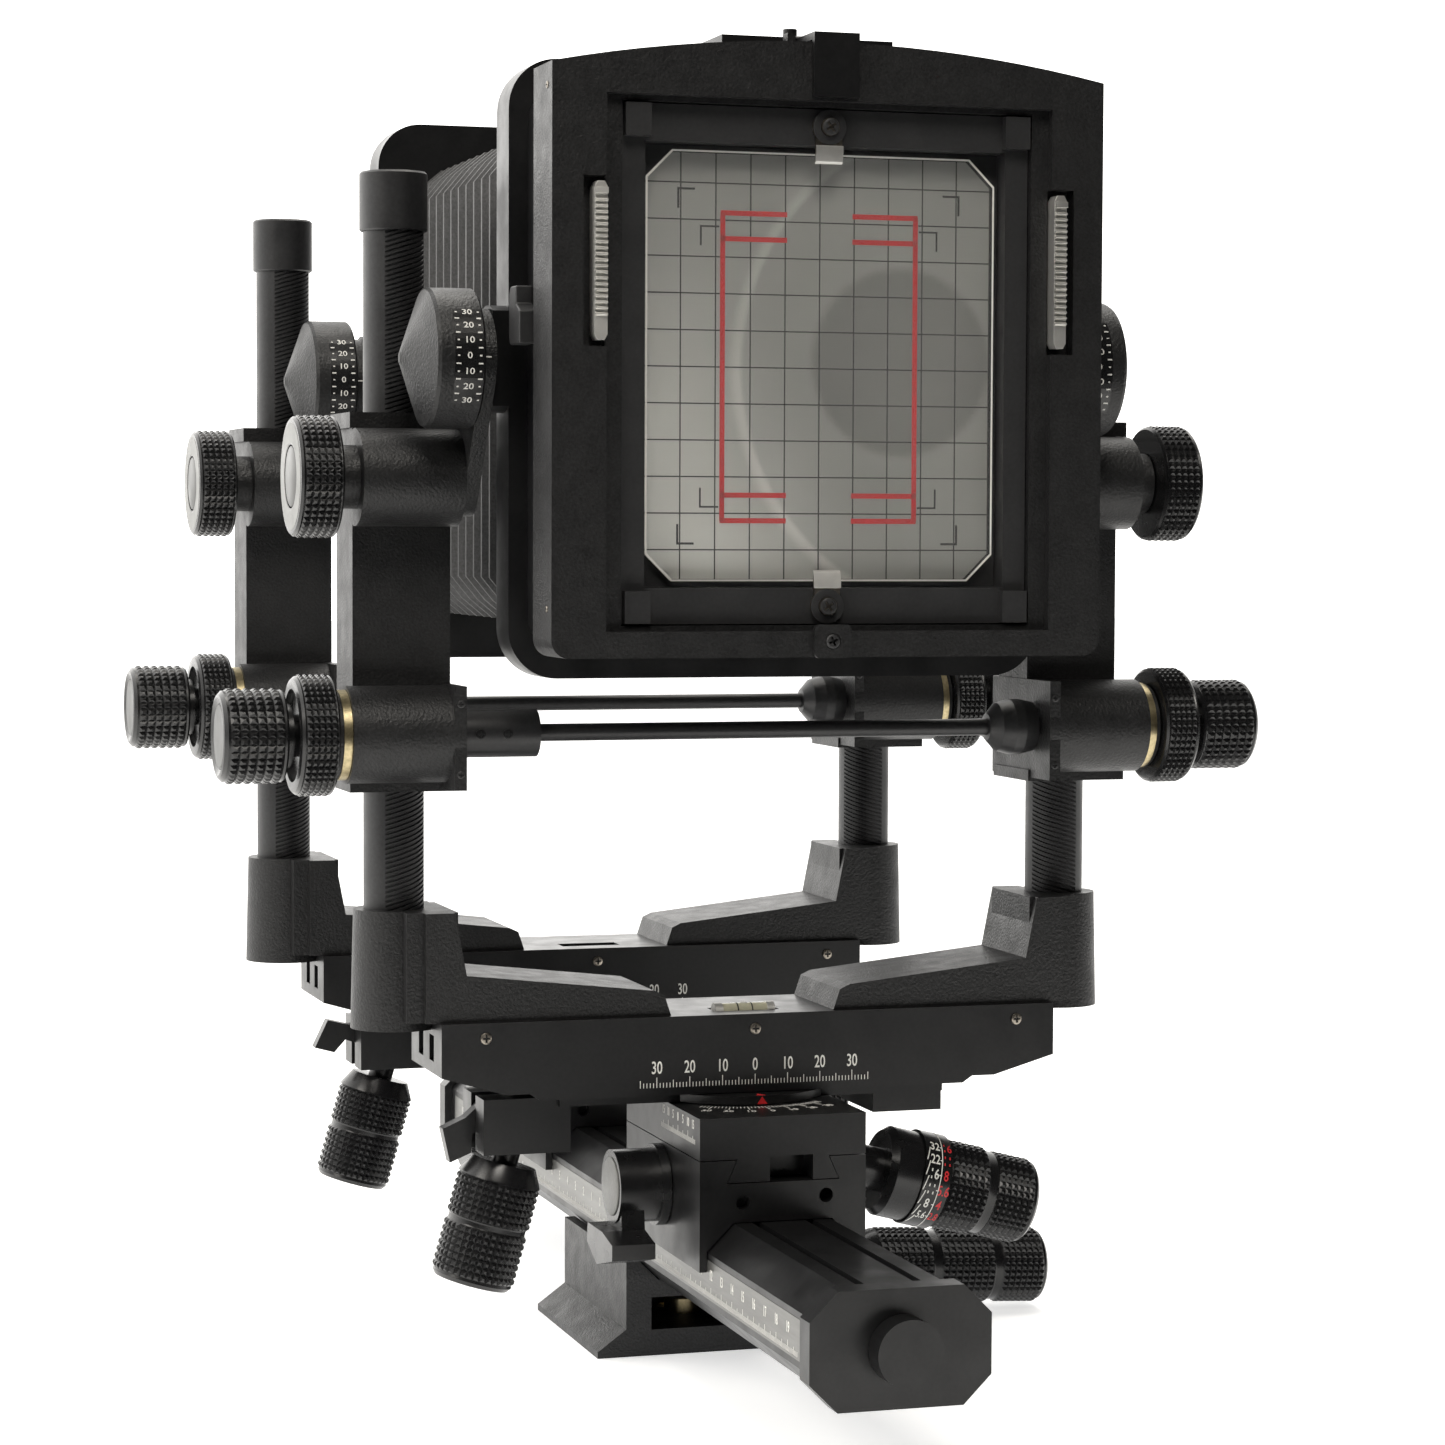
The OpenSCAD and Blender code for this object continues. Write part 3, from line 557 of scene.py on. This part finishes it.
def rack_post(mesh, centre_x, y, inner):
    """Round post; a fine slanted rack covers the sector that faces the pinion."""
    first, last, low, high = -28.0, 70.0, 111.0, 352.0
    sector = [first + (last - first) * i / 14 for i in range(15)]
    plain = [last + (360 - last + first) * i / 22 for i in range(1, 22)]
    angles = sector + plain
    rows = []
    for i in range(int((high - low - 10) / RACK_PITCH)):
        at = low + 5 + i * RACK_PITCH
        rows += [(at, 0), (at + 0.45 * RACK_PITCH, 0), (at + 0.6 * RACK_PITCH, RACK_DEPTH),
                 (at + 0.88 * RACK_PITCH, RACK_DEPTH)]
    verts, ring = [], []
    for z, depth in [(low, None)] + rows + [(high, None)]:
        ring.append(list(range(len(verts), len(verts) + len(angles))))
        for a in angles:
            cut = depth if depth and first < a < last else 0
            if a <= last:
                lift = POST_R * math.radians(a - first) * RACK_SLANT
            else:
                lift = (POST_R * math.radians(last - first) * RACK_SLANT
                        * (360 + first - a) / (360 + first - last))
            lift = 0 if depth is None else lift
            turn = math.radians(a)
            r = POST_R - cut
            verts.append((centre_x + inner * r * math.sin(turn), y - r * math.cos(turn), z + lift))
    faces = [tuple(reversed(ring[0])), tuple(ring[-1])]
    for lower, upper in zip(ring, ring[1:]):
        for i in range(len(angles)):
            k = (i + 1) % len(angles)
            faces.append((lower[i], lower[k], upper[k], upper[i]))
    mesh.add(verts, faces)
    turned(mesh, [(337.7, 8.7), (337.7, 9.4), (338.1, 9.8), (354.1, 9.8), (354.7, 9.2),
                  (354.7, 0)], axis_place((centre_x, y, 0), (0, 0, 1)), 64)


for name, y in STANDARDS:
    racks = Mesh()
    for sign in (-1, 1):
        rack_post(racks, sign * POST_X, y + POST_Y, -sign)
    obj = racks.make(f"{name}_rack_posts", RUBBER, f"{name}_shift_body", "black_anodised")
    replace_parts(obj, f"{name}_posts")

# ---- scales ------------------------------------------------------------------


def ruler(marks, words, place, reach, step, numbered, height, lift, value=abs):
    """Ticks along u from -reach to reach every step, with numbers above them."""
    count = int(round(reach / step))
    for i in range(-count, count + 1):
        at = i * step
        tall = 3.0 if i % 10 == 0 else (2.2 if i % 5 == 0 else 1.4)
        marks.box((at - 0.11, 0, 0), (at + 0.11, tall, 0.06), place)
        if i % numbered == 0 and abs(at) <= reach - step:
            write(words, str(int(value(at))), height,
                  lambda v, at=at: place((v[0] + at, v[1] + lift, v[2])), 0.66)


for name, y in STANDARDS:
    # Millimetre scale on the rear face of the cross bar, and its red index.
    bar = Mesh()
    ruler(bar, bar, facing((0, y - 20, 90.3), (1, 0, 0), (0, 0, 1)), 35, 1, 10, 3.7, 5.7)
    bar.make(f"{name}_shift_scale", WHITE, f"{name}_shift_body", "black_anodised")
    index = Mesh()
    index.prism([(-1.5, 0), (1.5, 0), (0, 2.2)], 0, 0.12,
                facing((0, y - 26.98, 85.4), (1, 0, 0), (0, 0, 1)))
    index.prism([(-1.4, 0), (1.4, 0), (0, 3.6)], 0, 0.08,
                facing((0, y - 25.8, 87.7), (1, 0, 0), (0, 1, 0)))
    index.make(f"{name}_red_index", RED, f"{name}_swing_body", "black_anodised")
    screws = Mesh()
    for x in (-81, 0, 82):
        screw(screws, facing((x, y - 20, 106.6), (1, 0.15, 0), (0, 0, 1)), 1.7, 0.5)
    screws.make(f"{name}_bar_screws", STEEL, f"{name}_shift_body", "bright_metal")

    # Degree fan on top of the focus slide and the side scale on its left face.
    fan = Mesh()
    for deg in range(-36, 37, 2):
        a = math.radians(deg)
        long = 34.6 if deg % 10 == 0 else 31.6
        ray = facing((0, y, 85), (math.cos(a), math.sin(a), 0), (-math.sin(a), math.cos(a), 0))
        fan.box((-0.14, -long, 0), (0.14, -29.2, 0.06), ray)
        if deg % 10 == 0:
            write(fan, str(abs(deg)), 2.6, lambda v, ray=ray: ray((v[0], v[1] - 37.2, v[2])))
    side = facing((-25, y - 25, 77), (0, -1, 0), (0, 0, 1))
    ruler(fan, fan, side, 17, 1, 5, 2.6, 5.4)
    fan.make(f"{name}_focus_scales", WHITE, f"{name}_focus_body", "black_anodised")

    # Degrees round each tilt bearing, beside its white index.
    drum, band = Mesh(), Mesh()
    for sign in (-1, 1):
        middle = sign * DRUM_X
        for deg in range(-30, 31, 5):
            a = math.radians(180 + deg * 1.27 * sign)
            roll = wrapped((middle, y - BEARING_BACK, TILT_Z), (1, 0, 0), DRUM_R, a)
            half = 0.3 if deg % 10 == 0 else 0.65
            for side in (-3.1, 3.1):
                drum.box((side - half, -0.2, 0.02), (side + half, 0.2, 0.09), roll)
            if deg % 10 == 0:
                write(drum, str(abs(deg)), 1.8,
                      lambda v, roll=roll: roll((v[0] * 1.4, -v[1], v[2] + 0.03)))
        for i in range(18):
            band.box((-4.1, -0.8, -0.1), (4.1, 0.8, 0.025),
                     wrapped((middle, y - BEARING_BACK, TILT_Z), (1, 0, 0), DRUM_R,
                             math.radians(180 + (i - 8.5) * 4.6)))
        index = wrapped((sign * 87.2, y - BEARING_BACK, TILT_Z), (1, 0, 0), 14.0, math.pi)
        drum.box((-1.2, -0.2, 0), (1.2, 0.2, 0.08), index)
    drum.make(f"{name}_tilt_scales", WHITE, f"{name}_rise_body", "textured_paint")
    band.make(f"{name}_tilt_bands", GLOSS, f"{name}_rise_body", "gloss_black")
    dimple = Mesh()
    for sign in (-1, 1):
        turned(dimple, [(108.5, 0), (108.5, 1.6), (109.0, 1.6), (109.05, 1.4), (109.05, 0)],
               axis_place((0, y - BEARING_BACK, TILT_Z), (sign, 0, 0)), 32)
    dimple.make(f"{name}_drum_caps", GRID, f"{name}_rise_body", "gloss_black")

    # Brass rings, shaft set screws and housing screws.
    rings = Mesh()
    for sign in (-1, 1):
        turned(rings, [(121.1, 12.38), (121.1, 12.85), (123.5, 12.85), (123.5, 12.38),
                       (121.1, 12.38)], shaft_axis(y, sign), 64)
    rings.make(f"{name}_brass_rings", BRASS, f"{name}_rise_body", "brass")
    dots = Mesh()
    for x in (-83, -75):
        screw(dots, facing((x, y - 21.8, SHAFT_Z), (1, 0, 0), (0, 0, 1)), 1.5, 0.3)
    dots.make(f"{name}_sleeve_screws", ANODISED, f"{name}_rise_drive_body", "black_anodised")
    heads = Mesh()
    for sign in (-1, 1):
        for z in (183, 203):
            screw(heads, facing((sign * 90.3, y - 28.5, z), (1, 0, 0), (0, 0, 1)), 1.1, 0.3)
    heads.make(f"{name}_housing_screws", PLASTIC, f"{name}_rise_body", "black_plastic")

    # Grey face of the clamp lever's barrel.
    barrel = Mesh()
    turned(barrel, [(40.3, 0), (40.3, 8.6), (40.75, 8.6), (40.9, 8.3), (40.9, 0)],
           axis_place((0, y - FOCUS_BACK, LOCK_Z), (-1, 0, 0)), 48)
    barrel.make(f"{name}_lock_disc", DISC, f"{name}_carriage_lock_body", "gloss_black")

# Bubble level: bright end caps, the bubble and its two lines.
vial = axis_place((0, -75, 110.2), (1, 0, 0))
caps, mark, bubble = Mesh(), Mesh(), Mesh()
for a, b in ((-9.2, -6.8), (6.8, 9.2)):
    turned(caps, [(a, 0), (a, 2.75), (b, 2.75), (b, 0)], vial, 32)
for at in (-2.2, 2.2):
    turned(mark, [(at - 0.2, 2.58), (at - 0.2, 2.68), (at + 0.2, 2.68), (at + 0.2, 2.58),
                  (at - 0.2, 2.58)], vial, 32)
turned(bubble, [(-1.6, 0), (-1.3, 0.5), (-0.6, 0.85), (0.6, 0.85), (1.3, 0.5), (1.6, 0)],
       axis_place((0, -75, 112.25), (1, 0, 0)), 20)
caps.make("bubble_level_caps", NICKEL, "rear_shift_body", "bright_metal")
mark.make("bubble_level_lines", GRID, "rear_shift_body", "black_plastic")
bubble.make("bubble", WHITE, "rear_shift_body", "clear_plastic")

# Rail scale: a grey strip with white ticks and numbers along its left face.
strip = Mesh()
strip.box((-22.62, -200, 33.4), (-22.4, 205, 44.6))
strip.make("rail_scale_strip", STRIP, "rail", "bright_metal")
rail = Mesh()
left = facing((-22.62, 2.5, 34.2), (0, -1, 0), (0, 0, 1))
ruler(rail, rail, left, 198, 1, 10, 3.0, 6.4, lambda at: round(abs(at) / 10))
rail.make("rail_scale_marks", WHITE, "rail", "black_anodised")

# Depth-of-field ring: white f-numbers and red ones beside them.
DOF_START = (FOCUS_X, STANDARDS[0][1] - FOCUS_BACK, FOCUS_Z)
DOF_R = 14.3
white, red = Mesh(), Mesh()
for i, (number, beside) in enumerate((("32", "16"), ("22", "11"), ("16", "8"), ("11", "5.6"),
                                      ("8", "4"), ("5.6", "2.8"))):
    a = math.pi - math.radians(51 - i * 18.5)
    roll = wrapped(DOF_START, FOCUS_DIR, DOF_R, a)
    wide = 0.62 if len(number) > 2 else 0.85
    for at, mesh, text in ((30.2, white, number), (34.1, red, beside)):
        write(mesh, text, 3.1, lambda v, at=at, wide=wide: roll((v[0] * wide + at, -v[1], v[2])))
    for k in range(5):
        u, v = 28.4 - 0.2 * k, 0.6 + 0.9 * k
        white.prism([(u, v), (u + 0.3, v), (u + 0.1, v + 0.9), (u - 0.2, v + 0.9)], 0, 0.06, roll)
    white.box((31.8, -0.15, 0), (32.6, 0.15, 0.06), roll)
turned(white, [(32.3, 14.26), (32.3, 14.38), (32.55, 14.38), (32.55, 14.26), (32.3, 14.26)],
       axis_place(DOF_START, FOCUS_DIR), 72)
white.make("dof_numbers", WHITE, "dof_ring_body", "gloss_black")
red.make("dof_red_numbers", RED, "dof_ring_body", "gloss_black")

# ---- back --------------------------------------------------------------------

BACK = "rear_tilt_body"
glass = facing((0, -142.02, AXIS_Z), (1, 0, 0), (0, 0, 1))
lines = Mesh()
for i in range(-5, 6):
    lines.box((i * 10 - 0.18, -60, 0), (i * 10 + 0.18, 60, 0.05), glass)
for i in range(-6, 7):
    lines.box((-53, i * 10 - 0.18, 0), (53, i * 10 + 0.18, 0.05), glass)
for sx in (-1, 1):
    for sz in (-1, 1):
        for a, b in (((36, 48), (41, 48.6)), ((40.4, 43), (41, 48.6)), ((29, 38), (34.5, 38.5)),
                     ((34, 33), (34.5, 38.5))):
            lo = (min(sx * a[0], sx * b[0]), min(sz * a[1], sz * b[1]), 0)
            hi = (max(sx * a[0], sx * b[0]), max(sz * a[1], sz * b[1]), 0.06)
            lines.box(lo, hi, glass)
lines.make("glass_grid", GRID, "glass_holder", "ground_glass")
marks = Mesh()
for sx in (-1, 1):
    marks.box((sx * 28 - 0.7, -42, 0), (sx * 28 + 0.7, 42, 0.08), glass)
    for z in (-42, -35, 35, 42):
        marks.box((min(sx * 28.6, sx * 9.5), z - 0.7, 0), (max(sx * 28.6, sx * 9.5), z + 0.7, 0.08),
                  glass)
marks.make("glass_red_frame", RED, "glass_holder", "ground_glass")

# A dark band round the clear screen paints shade on the ground glass outside it; a pale band on the
# screen's cut edge is a painted highlight.
surround = Mesh()
flat_band(surround, cut_corners(52, 60.2, 0.4), cut_corners(49.9, 58.0, 7.2), 0.12, 0.22, glass)
surround.make("screen_painted_shade", PLASTIC, "glass_holder", "black_plastic")
# painted highlight: a white band along the cut edge of the clear screen
edge = Mesh()
flat_band(edge, cut_corners(50.5, 58.6, 7.4), cut_corners(50.0, 58.1, 7.2), 2.29, 2.36, glass)
edge.make("screen_painted_highlight", WHITE, "glass_holder", "clear_plastic")

# Latch bars with fine ribs.
for side, sign in (("left", -1), ("right", 1)):
    bar = Mesh()
    outline = [(-1.8, 7.6), (-1.0, 6.1), (1.0, 6.1), (1.8, 7.6), (1.8, 46.9), (1.0, 48.4),
               (-1.0, 48.4), (-1.8, 46.9)]
    front = facing((sign * 66, -154, AXIS_Z), (1, 0, 0), (0, 0, 1))
    bar.prism(outline, -3.9, 1.6, front)
    for i in range(20):
        z = 12.4 + 1.6 * i
        bar.prism([(z, 1.5), (z + 0.35, 2.5), (z + 0.75, 2.5), (z + 1.1, 1.5)], -1.7, 1.7,
                  lambda v, front=front: front((v[2], v[0], v[1])))
    bar.prism([(-1.7, 45), (1.7, 45), (1.7, 46.6), (-1.7, 46.6)], 1.5, 2.8, front)
    obj = bar.make(f"release_{side}_ribbed", NICKEL, f"release_{side}_body", "bright_metal",
                   bevel=0.08)
    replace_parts(obj, f"release_{side}")

# Catch and screws on the left side of the back, and the screws and clips of the glass.
catch = Mesh()
catch.prism([(-131, 303), (-120, 303), (-119, 305), (-119, 317), (-120.5, 319), (-127, 319),
             (-127, 314), (-131, 312)], -82.4, -77.5, lambda v: (v[2], v[0], v[1]))
catch.make("frame_side_catch", PLASTIC, BACK, "black_plastic", bevel=0.5)
dots = Mesh()
for z in (AXIS_Z - 66, AXIS_Z + 74):
    screw(dots, facing((-79.2, -149, z), (0, -1, 0), (0, 0, 1)), 1.0, 0.25)
dots.make("back_side_screws", STEEL, BACK, "bright_metal")
lug = Mesh()
screw(lug, facing((0, -155.1, AXIS_Z - 74.9), (0.9, 0, 0.4), (-0.4, 0, 0.9)), 2.0, 0.9)
lug.make("back_lug_screw", PLASTIC, BACK, "black_plastic")
pins = Mesh()
for z in (-65.4, 65.4):
    screw(pins, facing((0, -151.4, AXIS_Z + z), (0.8, 0, 0.6), (-0.6, 0, 0.8)), 2.3, 0.5)
pins.make("clip_screws", PLASTIC, "glass_holder", "black_plastic")
washers, tips = Mesh(), Mesh()
for sign in (-1, 1):
    turned(washers, [(0, 2.6), (0, 4.75), (0.25, 4.75), (0.35, 4.5), (0.35, 2.6), (0, 2.6)],
           axis_place((0, -150.15, AXIS_Z + sign * 65.4), (0, -1, 0)), 40)
    tips.prism([(55.4, 0.2), (56.0, 0.9), (58.6, 1.5), (60.4, 1.5), (60.4, 1.1), (58.8, 1.1),
                (56.2, 0.4), (55.6, -0.2)], -3.9, 3.9,
               lambda v, sign=sign: (v[2], -149.2 - v[1], AXIS_Z + sign * v[0]))
washers.make("clip_washers", PLASTIC, "glass_holder", "black_plastic")
tips.make("clip_tips", NICKEL, "glass_holder", "bright_metal", bevel=0.1)

# ---- lens side ---------------------------------------------------------------

FRONT = "front_tilt_body"
BOARD_Y = 89.3      # front face of the lens board
BARREL_R = 31.0
lens_axis = axis_place((0, BOARD_Y, AXIS_Z), (0, 1, 0))
grip = Mesh()
turned(grip, [(24.2, 25.8), (24.2, 26.3), (24.6, 26.6), ("knurl", 25.0, 31.6, 27.1, 4),
              (32.0, 26.5), (32.4, 26.1), (32.4, 25.8), (24.2, 25.8)], lens_axis, 96)
grip.make("lens_grip_ring", GLOSS, FRONT, "gloss_black", sharp=20)
scale = Mesh()
for i, number in enumerate(("5.6", "8", "11", "16", "22", "32", "45")):
    roll = wrapped((0, BOARD_Y, AXIS_Z), (0, 1, 0), BARREL_R, math.radians(-36 + 12 * i))
    scale.box((12.2, -0.15, 0), (14.6, 0.15, 0.06), roll)
    write(scale, number, 2.6, lambda v, roll=roll: roll((9.6 - v[1], v[0], v[2])))
for i in range(12):
    roll = wrapped((0, BOARD_Y, AXIS_Z), (0, 1, 0), BARREL_R, math.radians(120 + 11 * i))
    scale.box((2.0, -0.15, 0), (4.4, 0.15, 0.06), roll)
scale.make("lens_scales", WHITE, FRONT, "black_anodised")
shutter = Mesh()
turned(shutter, [(5.6, 30.8), (5.6, 31.25), (6.4, 31.25), (6.4, 30.8), (5.6, 30.8)], lens_axis, 96)
shutter.make("shutter_ring", NICKEL, FRONT, "bright_metal")
corners = Mesh()
for sx in (-1, 1):
    for sz in (-1, 1):
        at = (sx * 60, BOARD_Y + 0.7, AXIS_Z + sz * 74.2)
        screw(corners, facing(at, (-1, 0, 0.2), (0.2, 0, 1)), 1.4, 0.5)
corners.make("front_frame_screws", STEEL, FRONT, "bright_metal")

# ---- bellows -----------------------------------------------------------------

CHAIN = [("rear_tilt_body", "rear_rise_body", 3), ("rear_rise_body", "rear_shift_body", 2),
         ("rear_shift_body", "rear_swing_body", 2), ("rear_swing_body", "rear_focus_body", 2),
         ("rear_focus_body", "rear_carriage_body", 1), ("rear_carriage_body", "rail", 6),
         ("rail", "front_carriage_body", 6), ("front_carriage_body", "front_focus_body", 1),
         ("front_focus_body", "front_swing_body", 2), ("front_swing_body", "front_shift_body", 2),
         ("front_shift_body", "front_rise_body", 2), ("front_rise_body", "front_tilt_body", 3)]
lo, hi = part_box("bellows")
Y0, Y1 = lo[1] / MM, hi[1] / MM
HALF = hi[0] / MM
FOLDS = sum(n for _, _, n in CHAIN)
RIDGE_FLAT, VALLEY_FLAT = 1.5, 0.7
RIDGE_CUT, VALLEY_CUT = 13.0, 4.0
FOLD_DEPTH, CLOTH_THICK = 7.0, 0.9


def bellows_ring(y, fold, thick):
    """One square ring; the corner is cut wide on a ridge and narrow in a valley."""
    ridge = fold % 2 == 0
    half = (HALF - 0.2 if ridge else HALF - FOLD_DEPTH) - thick
    cut = RIDGE_CUT if ridge else VALLEY_CUT
    out = []
    for sx, sz, order in ((1, 1, 0), (-1, 1, 1), (-1, -1, 0), (1, -1, 1)):
        a, b = (sx * half, sz * (half - cut)), (sx * (half - cut), sz * half)
        pair = (a, b) if order == 0 else (b, a)
        out.append(pair[0])
        out.append(((a[0] + b[0]) / 2 + sx * 0.6, (a[1] + b[1]) / 2 + sz * 0.6))
        out.append(pair[1])
    return [(x, y, AXIS_Z + z) for x, z in out]


step = (Y1 - Y0) / FOLDS
start = 0
for number, (a, b, count) in enumerate(CHAIN):
    verts, faces = [], []
    rings = []
    for layer in (0.0, CLOTH_THICK):
        for k in range(count):
            fold = start + k
            near, far = (bellows_ring(0, fold + i, layer) for i in (0, 1))
            flats = [(RIDGE_FLAT if (fold + i) % 2 == 0 else VALLEY_FLAT) / 2 / step
                     for i in (0, 1)]
            for at, mix in ((0, 0), (flats[0], 0), (0.5, 0.5), (1 - flats[1], 1), (1, 1))[k > 0:]:
                rings.append(list(range(len(verts), len(verts) + len(near))))
                verts += [(p[0] + (q[0] - p[0]) * mix, Y0 + step * (fold + at),
                           p[2] + (q[2] - p[2]) * mix) for p, q in zip(near, far)]
    n, per = len(rings[0]), len(rings) // 2
    for layer in (0, 1):
        for k in range(per - 1):
            p, q = rings[layer * per + k], rings[layer * per + k + 1]
            for j in range(n):
                i = (j + 1) % n
                faces.append((p[j], p[i], q[i], q[j]))
    for k in (0, per - 1):
        p, q = rings[k], rings[per + k]
        for j in range(n):
            i = (j + 1) % n
            faces.append((p[j], p[i], q[i], q[j]))
    section = piece(f"bellows_{number:02d}", verts, faces, CLOTH, None, "bellows_cloth", sharp=40)
    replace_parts(section, "bellows")
    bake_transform(section)
    start += count

# ---- stage, camera and light -------------------------------------------------

floor_mesh = bpy.data.meshes.new("floor")
# the floor ends a little way in front, so that it isn't mirrored in the dark faces
NEAR, FAR = -0.55, 9
floor_mesh.from_pydata([(-FAR, NEAR, 0), (FAR, NEAR, 0), (FAR, FAR, 0), (-FAR, FAR, 0)], [],
                       [(0, 1, 2, 3)])
floor = bpy.data.objects.new("floor", floor_mesh)
bpy.context.scene.collection.objects.link(floor)
pale = bpy.data.materials.new("pale_floor")
pale.use_nodes = True
surface = pale.node_tree.nodes["Principled BSDF"].inputs
surface["Base Color"].default_value = (0.9, 0.9, 0.89, 1)
surface["Roughness"].default_value = 0.9
surface["Emission Color"].default_value = (1, 1, 1, 1)
surface["Emission Strength"].default_value = 0.6
floor_mesh.materials.append(pale)

world = bpy.data.worlds.new("studio")
world.use_nodes = True
tree = world.node_tree
backdrop = tree.nodes["Background"]
backdrop.inputs["Color"].default_value = (1.0, 0.985, 0.957, 1)
place = tree.nodes.new("ShaderNodeTexCoord")
# the white sweep stands beyond the object and to its left; the viewer's side is dim
lean = tree.nodes.new("ShaderNodeVectorMath")
lean.operation = "DOT_PRODUCT"
lean.inputs[1].default_value = Vector((-0.38, 0.9, 0.2)).normalized()
reach = tree.nodes.new("ShaderNodeMapRange")
for socket, value in (("From Min", 0.0), ("From Max", 0.9), ("To Min", 0.02), ("To Max", 2.7)):
    reach.inputs[socket].default_value = value
seen = tree.nodes.new("ShaderNodeLightPath")
most = tree.nodes.new("ShaderNodeMath")
most.operation = "MAXIMUM"
white_wall = tree.nodes.new("ShaderNodeMath")
white_wall.operation = "MULTIPLY"
white_wall.inputs[1].default_value = 1.05
tree.links.new(place.outputs["Generated"], lean.inputs[0])
tree.links.new(lean.outputs["Value"], reach.inputs["Value"])
tree.links.new(seen.outputs["Is Camera Ray"], white_wall.inputs[0])
tree.links.new(reach.outputs["Result"], most.inputs[0])
tree.links.new(white_wall.outputs["Value"], most.inputs[1])
tree.links.new(most.outputs["Value"], backdrop.inputs["Strength"])
bpy.context.scene.world = world
bpy.context.scene.view_settings.view_transform = "Standard"


def softbox(name, place, aim, size, power):
    data = bpy.data.lights.new(name, "AREA")
    data.shape, data.size, data.size_y, data.energy = "RECTANGLE", size[0], size[1], power
    data.color = (1.0, 0.96, 0.89)
    lamp = bpy.data.objects.new(name, data)
    lamp.location = place
    lamp.rotation_euler = (Vector(aim) - Vector(place)).to_track_quat("-Z", "Y").to_euler()
    bpy.context.scene.collection.objects.link(lamp)


softbox("key", (-1.3, -0.6, 1.1), (0, 0, 0.2), (0.7, 0.7), 9)
softbox("top", (0.2, 0.3, 1.6), (0, 0, 0.2), (0.8, 0.8), 9)
softbox("fill", (-0.2, -1.1, 1.5), (0, 0, 0.3), (0.6, 0.6), 13)

# the photo is taken from behind and to the left, at about the height of the knobs
yaw, roll = math.radians(17.157), math.radians(0.23)
forward = Vector((0.29457, 0.95423, -0.05170)).normalized()
right0 = Vector((math.cos(yaw), -math.sin(yaw), 0))
up0 = right0.cross(forward)
right = right0 * math.cos(roll) + up0 * math.sin(roll)
up = up0 * math.cos(roll) - right0 * math.sin(roll)
lens = bpy.data.cameras.new("camera")
lens.lens, lens.sensor_width, lens.sensor_fit = 91.89, 36.0, "HORIZONTAL"
lens.clip_start, lens.clip_end = 0.05, 50.0
camera = bpy.data.objects.new("camera", lens)
camera.matrix_world = Matrix.Translation((-0.3266, -1.1111, 0.2520)) @ Matrix(
    (right, up, -forward)).transposed().to_4x4()
bpy.context.scene.collection.objects.link(camera)
bpy.context.scene.camera = camera
